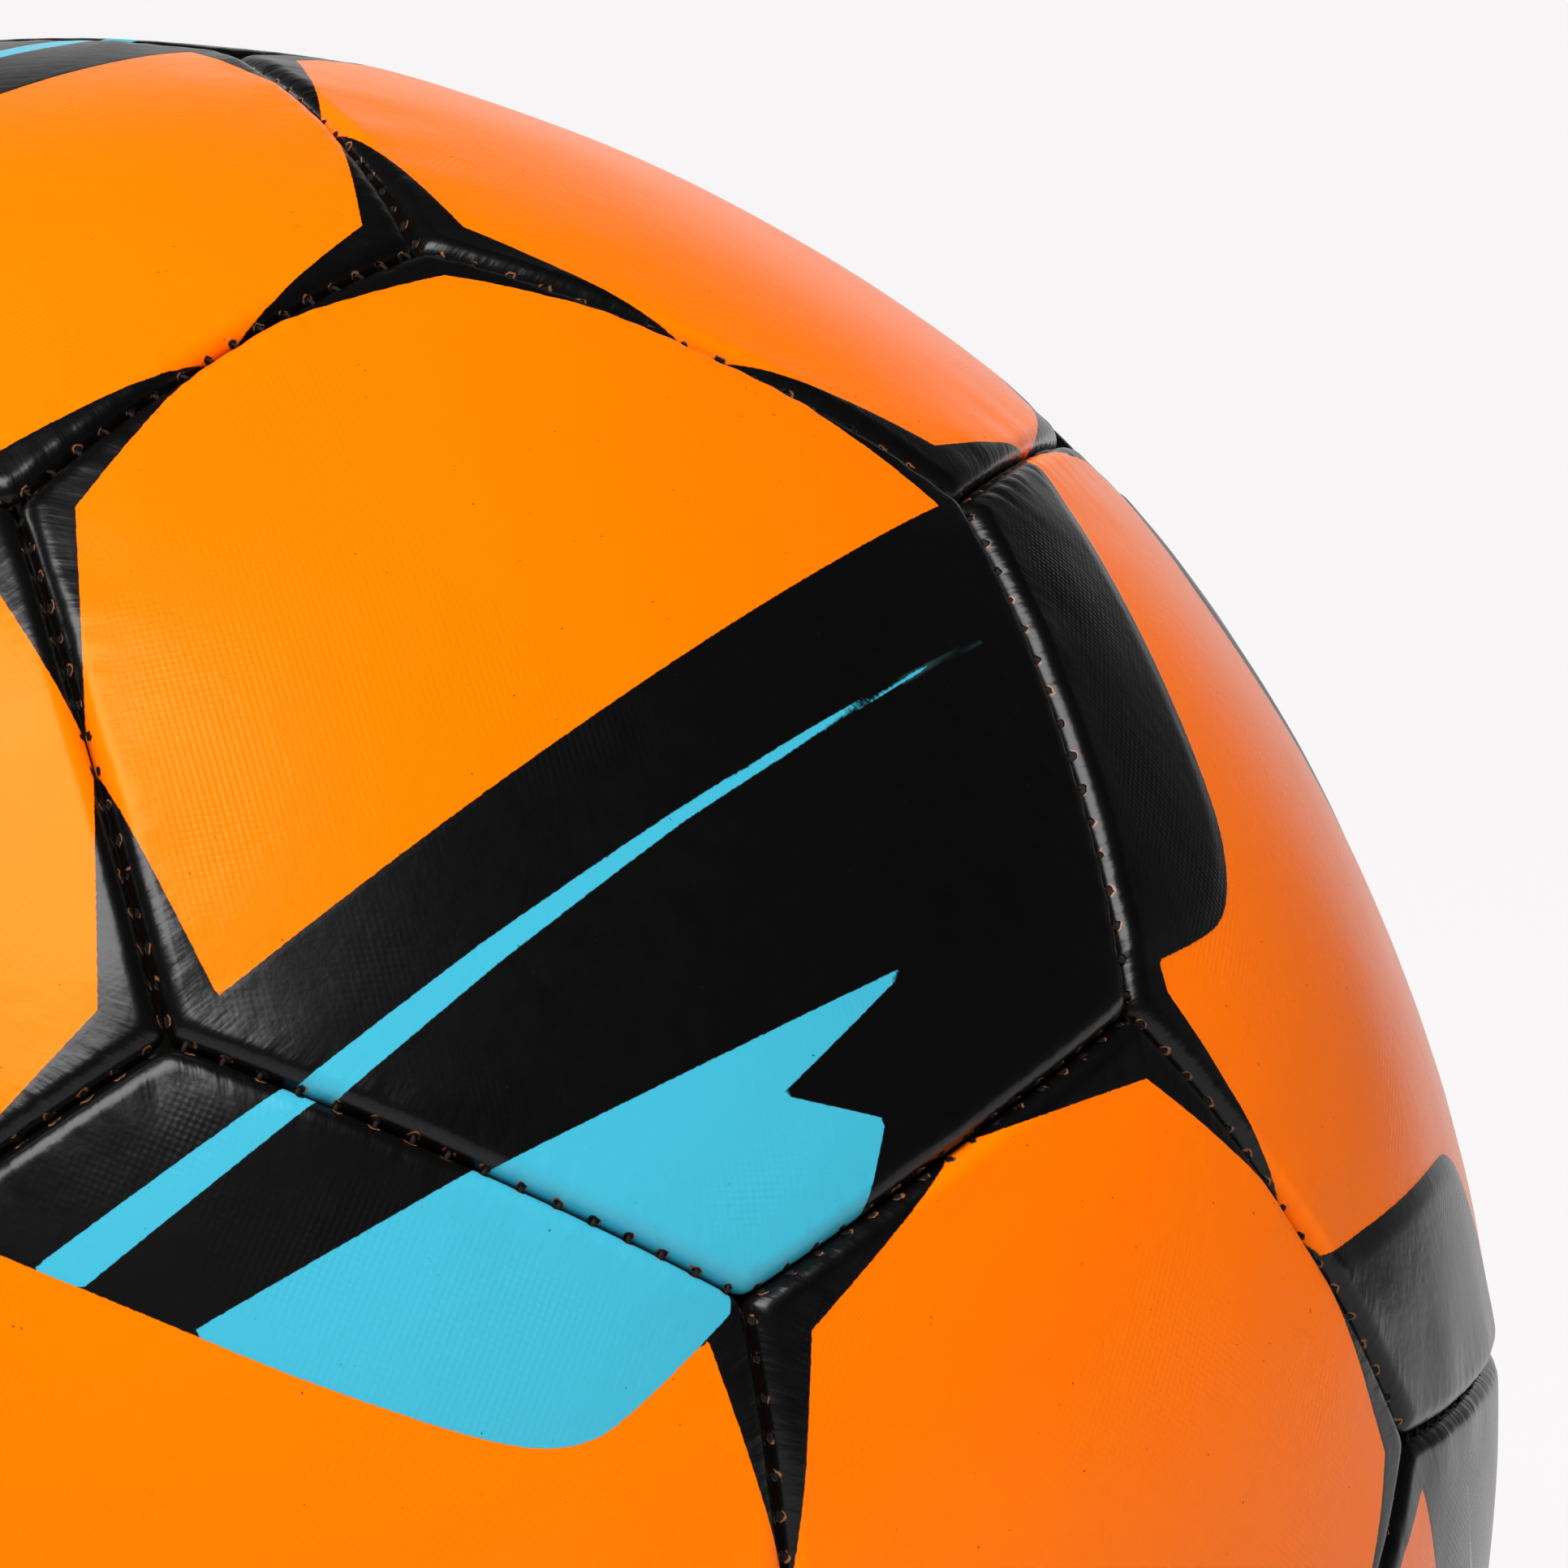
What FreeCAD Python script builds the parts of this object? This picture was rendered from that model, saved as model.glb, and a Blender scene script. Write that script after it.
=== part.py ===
"""A size 5 football: thirty-two laminated panels, machine stitched over a rubber bladder.

Origin at the ball's centre, +Z up, millimetres. The needle valve points along +Y.
"""
import FreeCAD, Part
import math
import os

import Sketcher
from FreeCAD import Placement, Rotation, Vector

# Driving sizes: (alias, millimetres or degrees, what it is).
SIZES = [
    ("ball_radius", 110.0, "ball centre to a corner where three seams meet"),
    ("crown_excess", 17.5, "how much flatter a panel's crown is than the ball: extra radius"),
    ("pattern_roll", 4.9, "turn of the panel pattern about the valve axis, degrees"),
    ("seam_gap", 0.1, "gap between two panels that are stitched face to face"),
    ("flange_depth", 5.5, "depth of the turned-in edge that the stitching holds"),
    ("shoulder_radius", 3.0, "rounding of a panel's edges and corners, where it rolls into its seams"),
    ("skin_thickness", 0.9, "printed synthetic leather"),
    ("foam_thickness", 1.8, "foam layer behind the leather"),
    ("lining_thickness", 0.6, "woven cloth layer behind the foam"),
    ("patch_thickness", 0.5, "reinforcing cloth disc behind the valve panel"),
    ("patch_radius", 15.0, "the same disc's radius"),
    ("thread_radius", 0.35, "seam thread"),
    ("thread_clearance", 0.05, "gap between the seam thread and the leather"),
    ("thread_end_gap", 1.2, "a thread stops this far before the corner of its seam"),
    ("bladder_wall", 0.8, "rubber bladder wall"),
    ("bladder_clearance", 0.3, "bladder to the turned-in edges"),
    ("valve_radius", 4.0, "rubber valve housing, where it passes through the panel"),
    ("valve_clearance", 0.2, "valve housing to the hole in the panel"),
    ("valve_recess", 0.4, "valve face below the panel's crown"),
    ("valve_length", 18.0, "valve housing, from its face to its inner end"),
    ("flange_radius", 12.0, "valve flange bonded under the bladder wall"),
    ("flange_thickness", 1.2, "the same flange's thickness"),
    ("plug_head_radius", 2.9, "head of the self-sealing plug"),
    ("plug_head_thickness", 1.2, "the same head's thickness"),
    ("plug_radius", 2.1, "body of the self-sealing plug"),
    ("plug_length", 16.0, "plug, from its face to the root of its nose"),
    ("plug_nose", 1.4, "height of the tapered nose at the plug's inner end"),
    ("plug_clearance", 0.05, "plug to its socket in the housing"),
    ("needle_radius", 1.0, "needle channel in the plug"),
    ("needle_depth", 12.0, "needle channel, from the plug's face"),
]

HEXAGON = 6
PENTAGON = 5
GOLDEN = (1 + math.sqrt(5)) / 2
# For a corner radius of 1: the seam length, and each polygon's half width, face height and wall tilt.
EDGE = 4 / math.sqrt(58 + 18 * math.sqrt(5))
POLYGON_RADIUS = {n: EDGE / (2 * math.sin(math.pi / n)) for n in (HEXAGON, PENTAGON)}
POLYGON_HEIGHT = {n: math.sqrt(1 - POLYGON_RADIUS[n] ** 2) for n in (HEXAGON, PENTAGON)}
WALL_SLOPE = {
    n: POLYGON_RADIUS[n] * math.cos(math.pi / n) / POLYGON_HEIGHT[n] for n in (HEXAGON, PENTAGON)
}
POLYGON_WORD = {HEXAGON: "hexagon", PENTAGON: "pentagon"}
# The panel blocks are cut from pyramids that run between these shares of the ball's radius.
BLOCK_FLOOR = 0.8
BLOCK_TOP = 1.1
# Edges shorter than this are only where a sphere's own seam touches a corner.
TINY = 0.01
# A rounding smaller than this is left sharp.
SMALLEST_ROUNDING = 0.5

doc = FreeCAD.newDocument("football")
sheet = doc.addObject("Spreadsheet::Sheet", "dims")
for row, (alias, number, meaning) in enumerate(SIZES, start=1):
    sheet.set(f"A{row}", meaning)
    sheet.set(f"B{row}", str(number))
    sheet.setAlias(f"B{row}", alias)
doc.recompute()


def size(alias):
    """A driving size, read from the sheet."""
    return float(sheet.get(alias))


def bound(kind, name, **expressions):
    """An object of the document with its sizes bound to the sheet."""
    thing = doc.addObject(kind, name)
    for prop, expression in expressions.items():
        thing.setExpression(prop.replace("__", "."), expression)
    return thing


def cut(name, base, tool):
    """Base less tool."""
    thing = doc.addObject("Part::Cut", name)
    thing.Base = base
    thing.Tool = tool
    return thing


def common(name, base, tool):
    """What base and tool share."""
    thing = doc.addObject("Part::Common", name)
    thing.Base = base
    thing.Tool = tool
    return thing


def fuse(name, base, tool):
    """Base and tool as one solid."""
    thing = doc.addObject("Part::Fuse", name)
    thing.Base = base
    thing.Tool = tool
    return thing


def sphere(name, radius, z="0"):
    """A sphere on the Z axis."""
    return bound("Part::Sphere", name, Radius=radius, Placement__Base__z=z)


def cylinder(name, radius, z_from, height):
    """A cylinder that stands on the Z axis."""
    return bound("Part::Cylinder", name, Radius=radius, Height=height, Placement__Base__z=z_from)


# Lengths that several pieces share, as expressions on the sheet.
CROWN_RADIUS = "(dims.ball_radius + dims.crown_excess)"
LAMINATE = "(dims.skin_thickness + dims.foam_thickness + dims.lining_thickness)"
CROWN_DROP = {
    n: f"(sqrt({CROWN_RADIUS} ^ 2 - (dims.ball_radius * {POLYGON_RADIUS[n]}) ^ 2)"
    f" - dims.ball_radius * {POLYGON_HEIGHT[n]})"
    for n in (HEXAGON, PENTAGON)
}
PANEL_TOP = f"({CROWN_RADIUS} - {CROWN_DROP[HEXAGON]})"
FLANGE_EDGE = "(dims.ball_radius - dims.flange_depth)"
PATCH_UNDERSIDE = f"({PANEL_TOP} - {LAMINATE} - dims.patch_thickness)"
BLADDER_RADIUS = f"(min({FLANGE_EDGE}; {PATCH_UNDERSIDE}) - dims.bladder_clearance)"
BLADDER_INSIDE = f"({BLADDER_RADIUS} - dims.bladder_wall)"
VALVE_FACE = f"({PANEL_TOP} - dims.valve_recess)"
VALVE_HOLE = "(dims.valve_radius + dims.valve_clearance)"


# ---- panels ---------------------------------------------------------------------------------

def pyramid(name, sides, inset):
    """A flat-sided block that widens outwards, its walls inset from the planes of the seams."""
    rings = []
    for share in (BLOCK_FLOOR, BLOCK_TOP):
        height = size("ball_radius") * share
        half_width = height * WALL_SLOPE[sides] - inset * math.hypot(1, WALL_SLOPE[sides])
        radius = half_width / math.cos(math.pi / sides)
        turns = [2 * math.pi * corner / sides for corner in range(sides)]
        rings.append([Vector(radius * math.cos(t), radius * math.sin(t), height) for t in turns])
    low, high = rings
    loops = [low[::-1], high]
    for corner in range(sides):
        after = (corner + 1) % sides
        loops.append([low[corner], low[after], high[after], high[corner]])
    walls = [Part.Face(Part.makePolygon(loop + loop[:1])) for loop in loops]
    block = doc.addObject("Part::Feature", name)
    block.Shape = Part.makeSolid(Part.makeShell(walls))
    return block


def panel_block(sides, layer, inset, inset_mm):
    """The solid inside one layer of a panel: a pyramid under a crowned, round-shouldered top.

    layer names it, inset is how far it lies inside the panel's outside, as an expression, and
    inset_mm is the same length as a number, which the walls and roundings follow.
    """
    stem = f"{POLYGON_WORD[sides]}_{layer}"
    walls = pyramid(stem + "_pyramid", sides, size("seam_gap") / 2 + inset_mm)
    crown = sphere(stem + "_crown", f"{CROWN_RADIUS} - {inset}", f"-{CROWN_DROP[sides]}")
    block = common(stem + "_block", walls, crown)
    radius = size("shoulder_radius") - inset_mm
    if radius < SMALLEST_ROUNDING:
        return block
    doc.recompute()
    rounded = doc.addObject("Part::Fillet", stem + "_shoulders")
    rounded.Base = block
    floor = size("ball_radius") * BLOCK_FLOOR
    rounded.Edges = [
        (number, radius, radius)
        for number, edge in enumerate(block.Shape.Edges, start=1)
        if max(vertex.Point.z for vertex in edge.Vertexes) > floor + 1 and edge.Length > TINY
    ]
    return rounded


def panel_layers(sides):
    """The skin, foam and lining of one kind of panel, each one solid about the Z axis."""
    skin_in = "dims.skin_thickness"
    foam_in = f"({skin_in} + dims.foam_thickness)"
    skin_mm = size("skin_thickness")
    foam_mm = skin_mm + size("foam_thickness")
    blocks = [
        panel_block(sides, "outside", "0", 0.0),
        panel_block(sides, "under_skin", skin_in, skin_mm),
        panel_block(sides, "under_foam", foam_in, foam_mm),
        panel_block(sides, "under_lining", LAMINATE, foam_mm + size("lining_thickness")),
    ]
    inside = sphere(f"{POLYGON_WORD[sides]}_inside", FLANGE_EDGE)
    layers = {}
    for layer, outer, inner in zip(("skin", "foam", "lining"), blocks, blocks[1:]):
        shell = cut(f"{POLYGON_WORD[sides]}_{layer}_shell", outer, inner)
        layers[layer] = cut(f"{POLYGON_WORD[sides]}_{layer}", shell, inside)
    return layers


# ---- the pattern of panels and seams ---------------------------------------------------------

def pentagon_directions():
    """The twelve pentagon axes, before the pattern is turned: an icosahedron's corners."""
    found = []
    for a in (-1, 1):
        for b in (-GOLDEN, GOLDEN):
            found += [Vector(0, a, b), Vector(a, b, 0), Vector(b, 0, a)]
    return [v.normalize() for v in found]


def hexagon_directions(pentagons):
    """The twenty hexagon axes: the middles of the icosahedron's faces."""
    near = math.cos(math.atan(2)) - 0.01
    found = []
    for i, p in enumerate(pentagons):
        for j in range(i + 1, len(pentagons)):
            for k in range(j + 1, len(pentagons)):
                q, r = pentagons[j], pentagons[k]
                if min(p.dot(q), q.dot(r), r.dot(p)) > near:
                    found.append((p + q + r).normalize())
    return found


def turned(directions, pentagons, hexagons):
    """Directions in the ball's own frame: one hexagon at +Y, the pattern rolled about it."""
    valve = max(hexagons, key=lambda v: v.dot(Vector(1, 1, 1)))
    beside = sorted(hexagons, key=lambda v: -v.dot(valve))[1]
    across = (beside - valve * beside.dot(valve)).normalize()
    upright = across.cross(valve)
    roll = Rotation(Vector(0, 1, 0), -size("pattern_roll"))
    return [
        roll.multVec(Vector(v.dot(across), v.dot(valve), v.dot(upright)))
        for v in directions
    ]


def panel_placement(axis, sides, neighbours):
    """Turns a panel made about +Z so that it faces along axis with its sides on its seams."""
    beside = max(neighbours, key=lambda v: round(v.dot(axis), 4) + 0.0001 * v.z)
    middle = (beside - axis * beside.dot(axis)).normalize()
    corner = Rotation(axis, 180.0 / sides).multVec(middle)
    return Placement(Vector(), Rotation(corner, axis.cross(corner), axis, "ZXY"))


# Each ring of panels round the valve axis, and the angle from the valve that it lies within.
RINGS = [("valve", 1), ("back", 60), ("rear_waist", 90), ("front_waist", 120), ("front", 179), ("nose", 181)]


def ring_word(axis):
    """Where a panel lies between the valve of the ball, at +Y, and its nose, at -Y."""
    angle = math.degrees(math.acos(max(-1.0, min(1.0, axis.y))))
    return next(word for word, limit in RINGS if angle < limit)


def named_panels(directions, sides):
    """(name, axis) for each panel of one kind, numbered round from +X towards +Z in its ring."""
    rings = {}
    for axis in directions:
        rings.setdefault(ring_word(axis), []).append(axis)
    named = []
    for word, ring in rings.items():
        ring.sort(key=lambda v: math.degrees(math.atan2(v.z, v.x)) % 360)
        for number, axis in enumerate(ring, start=1):
            suffix = f"_{number}" if len(ring) > 1 else ""
            named.append((f"{word}_{POLYGON_WORD[sides]}{suffix}", axis))
    return named


# Two panels share a seam where the cosine between their axes is more than this.
NEIGHBOURS = 0.7


def seams(hexagons, pentagons):
    """(one axis, other axis, True between two hexagons) for every seam of the ball."""
    found = []
    for i, hexagon in enumerate(hexagons):
        for other in hexagons[i + 1:]:
            if hexagon.dot(other) > NEIGHBOURS:
                found.append((hexagon, other, True))
        for pentagon in pentagons:
            if hexagon.dot(pentagon) > NEIGHBOURS:
                found.append((hexagon, pentagon, False))
    return found


plain_pentagons = pentagon_directions()
plain_hexagons = hexagon_directions(plain_pentagons)
pentagon_axes = turned(plain_pentagons, plain_pentagons, plain_hexagons)
hexagon_axes = turned(plain_hexagons, plain_pentagons, plain_hexagons)

# ---- valve: pieces are made about +Z and then turned to point along +Y -----------------------

valve_turn = panel_placement(Vector(0, 1, 0), HEXAGON, pentagon_axes)

valve_hole = cylinder("valve_hole", VALVE_HOLE, f"{BLADDER_INSIDE} / 2", "dims.ball_radius")

housing_tube = cylinder(
    "housing_tube", "dims.valve_radius", f"{VALVE_FACE} - dims.valve_length", "dims.valve_length"
)
flange_disc = cylinder("flange_disc", "dims.flange_radius", f"{BLADDER_INSIDE} / 2", BLADDER_INSIDE)
flange_outer = sphere("flange_outer", BLADDER_INSIDE)
flange_inner = sphere("flange_inner", f"{BLADDER_INSIDE} - dims.flange_thickness")
flange_shell = cut("flange_shell", flange_outer, flange_inner)
housing_flange = common("housing_flange", flange_disc, flange_shell)
housing_solid = fuse("housing_solid", housing_tube, housing_flange)
plug_socket = cylinder(
    "plug_socket",
    "dims.plug_radius + dims.plug_clearance",
    f"{VALVE_FACE} - 2 * dims.valve_length",
    "3 * dims.valve_length",
)
head_socket = cylinder(
    "head_socket",
    "dims.plug_head_radius + dims.plug_clearance",
    f"{VALVE_FACE} - dims.plug_head_thickness - dims.plug_clearance",
    "2 * dims.plug_head_thickness",
)
valve_sockets = fuse("valve_sockets", plug_socket, head_socket)
valve_housing = cut("valve_housing_shape", housing_solid, valve_sockets)


def plug_body():
    """The self-sealing plug: a turned rubber pin with a head, a tapered nose and a blind channel."""
    body = doc.addObject("PartDesign::Body", "plug_body")
    profile = body.newObject("Sketcher::SketchObject", "plug_profile")
    side = [f for f in body.Origin.OriginFeatures if f.Role == "XZ_Plane"][0]
    profile.AttachmentSupport = [(side, "")]
    profile.MapMode = "FlatFace"
    # Round the half section from the channel's blind end: a radius, None on the axis, and the
    # lengths that add up to the depth under the plug's face.
    corners = [
        (None, ["needle_depth"]),
        ("needle_radius", ["needle_depth"]),
        ("needle_radius", []),
        ("plug_head_radius", []),
        ("plug_head_radius", ["plug_head_thickness"]),
        ("plug_radius", ["plug_head_thickness"]),
        ("plug_radius", ["plug_length"]),
        ("needle_radius", ["plug_length", "plug_nose"]),
        (None, ["plug_length", "plug_nose"]),
    ]
    count = len(corners)
    points = [
        Vector(size(radius) if radius else 0.0, size("ball_radius") - sum(map(size, depths)), 0)
        for radius, depths in corners
    ]
    for line in range(count):
        profile.addGeometry(Part.LineSegment(points[line], points[(line + 1) % count]), False)
    for line, (radius, depths) in enumerate(corners):
        profile.addConstraint(Sketcher.Constraint("Coincident", line, 2, (line + 1) % count, 1))
        if radius:
            across = Sketcher.Constraint("DistanceX", -1, 1, line, 1, points[line].x)
            number = profile.addConstraint(across)
            profile.setExpression(f"Constraints[{number}]", f"dims.{radius}")
        else:
            profile.addConstraint(Sketcher.Constraint("PointOnObject", line, 1, -2))
        up = Sketcher.Constraint("DistanceY", -1, 1, line, 1, points[line].y)
        number = profile.addConstraint(up)
        below_face = "".join(f" - dims.{depth}" for depth in depths)
        profile.setExpression(f"Constraints[{number}]", VALVE_FACE + below_face)
    turn = body.newObject("PartDesign::Revolution", "plug_turning")
    turn.Profile = profile
    turn.ReferenceAxis = (profile, ["V_Axis"])
    turn.Angle = 360.0
    return body


patch_disc = cylinder("patch_disc", "dims.patch_radius", f"{BLADDER_INSIDE} / 2", "dims.ball_radius")
patch_outer = sphere("patch_outer", f"{CROWN_RADIUS} - {LAMINATE}", f"-{CROWN_DROP[HEXAGON]}")
patch_inner = sphere(
    "patch_inner", f"{CROWN_RADIUS} - {LAMINATE} - dims.patch_thickness", f"-{CROWN_DROP[HEXAGON]}"
)
patch_shell = cut("patch_shell", patch_outer, patch_inner)
patch_whole = common("patch_whole", patch_disc, patch_shell)
valve_patch = cut("valve_patch_shape", patch_whole, valve_hole)

bladder_outer = sphere("bladder_outer", BLADDER_RADIUS)
bladder_inner = sphere("bladder_inner", BLADDER_INSIDE)
bladder_shell = cut("bladder_shell", bladder_outer, bladder_inner)
bladder_hole = cylinder("bladder_hole", "dims.valve_radius", f"{BLADDER_INSIDE} / 2", "dims.ball_radius")
bladder = cut("bladder_shape", bladder_shell, bladder_hole)

# ---- seam thread: an arc about +Z in the XY plane, moved to each seam ------------------------

# The angle from a hexagon's middle to the middle of its seam, seen from the ball's centre.
HEXAGON_TILT = math.atan(WALL_SLOPE[HEXAGON])
SEAM_CENTRE = f"({CROWN_DROP[HEXAGON]} * {math.cos(HEXAGON_TILT)})"
SEAM_RADIUS = f"sqrt({CROWN_RADIUS} ^ 2 - ({CROWN_DROP[HEXAGON]} * {math.sin(HEXAGON_TILT)}) ^ 2)"
VALLEY_DEPTH = (
    "(dims.shoulder_radius - sqrt((dims.shoulder_radius + dims.thread_radius + dims.thread_clearance) ^ 2"
    " - (dims.shoulder_radius + dims.seam_gap / 2) ^ 2))"
)
THREAD_SWEEP = (
    f"2 * asin(dims.ball_radius * {EDGE / 2} / {SEAM_RADIUS})"
    f" - 2 * dims.thread_end_gap / {SEAM_RADIUS} * {math.degrees(1)} * 1 deg"
)
thread = bound(
    "Part::Torus",
    "seam_thread",
    Radius1=f"{SEAM_RADIUS} - {VALLEY_DEPTH}",
    Radius2="dims.thread_radius",
    Angle3=THREAD_SWEEP,
)
doc.recompute()


def thread_placement(hexagon, beside):
    """Lays the thread's arc in the valley between the panels that face along hexagon and beside."""
    across = hexagon.cross(beside).normalize()
    middle = Rotation(across, math.degrees(HEXAGON_TILT)).multVec(hexagon)
    frame = Rotation(middle, across, middle.cross(across), "ZXY")
    to_start = Rotation(Vector(0, 0, 1), -thread.Angle3.Value / 2)
    crown_radius = size("ball_radius") + size("crown_excess")
    polygon_radius = size("ball_radius") * POLYGON_RADIUS[HEXAGON]
    polygon_height = size("ball_radius") * POLYGON_HEIGHT[HEXAGON]
    crown_drop = math.sqrt(crown_radius ** 2 - polygon_radius ** 2) - polygon_height
    return Placement(middle * (-crown_drop * math.cos(HEXAGON_TILT)), frame * to_start)


# ---- sub-parts -------------------------------------------------------------------------------

def copy_of(original, label, placement):
    """One more of an original, in its own place."""
    link = doc.addObject("App::Link", label)
    link.LinkedObject = original
    link.Label = label
    link.Placement = placement
    return link


def group_of(label, members):
    """A sub-part of several separate solids."""
    group = doc.addObject("Part::Compound", label)
    group.Links = members
    group.Label = label
    return group


sub_parts = []
layers = {sides: panel_layers(sides) for sides in (HEXAGON, PENTAGON)}
pierced = {layer: cut(f"pierced_{layer}", shape, valve_hole) for layer, shape in layers[HEXAGON].items()}

backing = {}
for sides, axes, beside in (
    (HEXAGON, hexagon_axes, pentagon_axes),
    (PENTAGON, pentagon_axes, hexagon_axes),
):
    for name, axis in named_panels(axes, sides):
        place = panel_placement(axis, sides, beside)
        for layer, plain in layers[sides].items():
            original = pierced[layer] if ring_word(axis) == "valve" else plain
            if layer == "skin":
                sub_parts.append(copy_of(original, name, place))
            else:
                group_name = f"{POLYGON_WORD[sides]}_{layer}s"
                member = copy_of(original, f"{name}_{layer}", place)
                backing.setdefault(group_name, []).append(member)
for group_name, members in backing.items():
    sub_parts.append(group_of(group_name, members))

threads = {True: [], False: []}
for number, (a, b, between_hexagons) in enumerate(seams(hexagon_axes, pentagon_axes), start=1):
    threads[between_hexagons].append(copy_of(thread, f"seam_{number}", thread_placement(a, b)))
sub_parts.append(group_of("hexagon_seam_threads", threads[True]))
sub_parts.append(group_of("pentagon_seam_threads", threads[False]))

sub_parts.append(copy_of(bladder, "bladder", valve_turn))
sub_parts.append(copy_of(valve_housing, "valve_housing", valve_turn))
sub_parts.append(copy_of(plug_body(), "valve_plug", valve_turn))
sub_parts.append(copy_of(valve_patch, "valve_patch", valve_turn))

doc.recompute()

for thing in doc.Objects:
    if "Invalid" in thing.State or "Error" in thing.State:
        raise RuntimeError(f"{thing.Name} failed to build: {thing.State}")
for part in sub_parts:
    if part.Shape.isNull() or not part.Shape.isValid() or not part.Shape.Solids:
        raise RuntimeError(f"{part.Label} has no valid shape")

os.makedirs("parts", exist_ok=True)
for part in sub_parts:
    part.Shape.exportStep(f"parts/{part.Label}.step")
    solids = len(part.Shape.Solids)
    print(f"{part.Label}: {solids} solid{'s' if solids > 1 else ''}, {part.Shape.Volume:.1f} mm3")
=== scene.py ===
"""A size 5 football on a plain studio floor.

Thirty-two printed synthetic leather panels are stitched edge to edge over foam, cloth and a rubber
bladder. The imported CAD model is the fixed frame: it gives the inner layers and the needle valve as
they are, and each leather panel and row of stitches made here stands for one of its nodes.

Lengths inside the panel maths are millimetres, as a ball maker measures them. Meshes are written in
metres.
"""
import logging
import math
from dataclasses import dataclass, field
from enum import Enum

import bpy
import numpy as np
from mathutils import Matrix, Vector

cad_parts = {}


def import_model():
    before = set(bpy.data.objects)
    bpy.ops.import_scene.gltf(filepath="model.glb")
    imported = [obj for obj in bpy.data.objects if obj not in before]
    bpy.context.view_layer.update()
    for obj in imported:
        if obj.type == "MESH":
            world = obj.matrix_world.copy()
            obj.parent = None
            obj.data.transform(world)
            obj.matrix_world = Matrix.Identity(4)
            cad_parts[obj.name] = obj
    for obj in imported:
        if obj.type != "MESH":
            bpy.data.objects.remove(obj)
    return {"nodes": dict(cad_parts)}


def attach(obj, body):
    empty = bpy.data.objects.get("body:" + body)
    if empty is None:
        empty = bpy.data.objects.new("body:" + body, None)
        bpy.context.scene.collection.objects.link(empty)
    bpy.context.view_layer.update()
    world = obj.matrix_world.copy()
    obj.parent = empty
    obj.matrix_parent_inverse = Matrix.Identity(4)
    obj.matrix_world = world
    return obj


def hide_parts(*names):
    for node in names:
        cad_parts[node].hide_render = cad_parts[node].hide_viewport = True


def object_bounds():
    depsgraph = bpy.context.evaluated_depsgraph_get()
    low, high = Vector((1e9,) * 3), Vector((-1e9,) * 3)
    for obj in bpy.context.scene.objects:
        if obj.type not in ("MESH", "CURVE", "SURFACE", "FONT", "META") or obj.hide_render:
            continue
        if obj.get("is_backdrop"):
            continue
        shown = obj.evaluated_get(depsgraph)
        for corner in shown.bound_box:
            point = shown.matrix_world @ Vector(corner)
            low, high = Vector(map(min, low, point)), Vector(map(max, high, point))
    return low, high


LOG = logging.getLogger("football")
MM = 0.001
GOLDEN = (1 + math.sqrt(5)) / 2
# The length of a seam on a ball whose corners lie at a radius of 1.
SEAM_SHARE = 4 / math.sqrt(58 + 18 * math.sqrt(5))


class Polygon(Enum):
    """The two panel outlines, by their number of sides."""

    HEXAGON = 6
    PENTAGON = 5

    @property
    def word(self) -> str:
        """The outline's name, as the CAD nodes spell it."""
        return self.name.lower()


class Ear(Enum):
    """What a motif panel's neighbour carries of the motif beyond their shared seam."""

    CYAN = "cyan"
    PLAIN = "plain"


@dataclass(frozen=True)
class BallSizes:
    """The ball's driving sizes, in millimetres.

    They are the CAD model's, but for a tighter shoulder and stitches that lie nearer the surface.
    """

    radius: float = 110.0
    crown_excess: float = 17.5
    pattern_roll: float = 4.9
    seam_gap: float = 0.1
    shoulder: float = 1.9
    skin: float = 0.9
    stitches_per_seam: int = 16
    stitch_depth: float = 1.15
    valve_hole: float = 4.2

    @property
    def seam_length(self) -> float:
        """Corner to corner along a seam."""
        return SEAM_SHARE * self.radius

    @property
    def seam_height(self) -> float:
        """From the ball's centre to the middle of the line between a seam's ends."""
        return math.sqrt(self.radius**2 - (self.seam_length / 2) ** 2)

    @property
    def stitch_pitch(self) -> float:
        """From one stitch to the next."""
        return self.seam_length / self.stitches_per_seam

    @property
    def crown_radius(self) -> float:
        """Radius of the sphere that a panel's middle follows."""
        return self.radius + self.crown_excess

    @property
    def stitch_climb(self) -> float:
        """From the foot of the shoulder up its curve to the stitches."""
        return self.shoulder * math.asin(1 - self.stitch_depth / self.shoulder)


@dataclass(frozen=True)
class PanelForm:
    """The shape of one kind of panel, about +Z with a corner towards +X, in millimetres."""

    polygon: Polygon
    ball: BallSizes

    @property
    def sides(self) -> int:
        """How many seams the panel has."""
        return self.polygon.value

    @property
    def half_turn(self) -> float:
        """Half the angle that one side spans."""
        return math.pi / self.sides

    @property
    def corner_radius(self) -> float:
        """From the panel's axis to a corner."""
        return self.ball.seam_length / (2 * math.sin(self.half_turn))

    @property
    def reach(self) -> float:
        """From the panel's axis to the middle of a side."""
        return self.corner_radius * math.cos(self.half_turn)

    @property
    def height(self) -> float:
        """From the ball's centre to the plane of the panel's corners."""
        return math.sqrt(self.ball.radius**2 - self.corner_radius**2)

    @property
    def tilt(self) -> float:
        """Angle between the panel's axis and the plane of a seam."""
        return math.atan(self.reach / self.height)

    @property
    def crown_drop(self) -> float:
        """How far the crown sphere's centre lies below the ball's."""
        return math.sqrt(self.ball.crown_radius**2 - self.corner_radius**2) - self.height

    @property
    def crown_top(self) -> float:
        """From the ball's centre to the middle of the panel."""
        return self.ball.crown_radius - self.crown_drop

    def bearings(self) -> np.ndarray:
        """The directions of the sides' middles, in radians."""
        return (np.arange(self.sides) * 2 + 1) * self.half_turn


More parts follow.
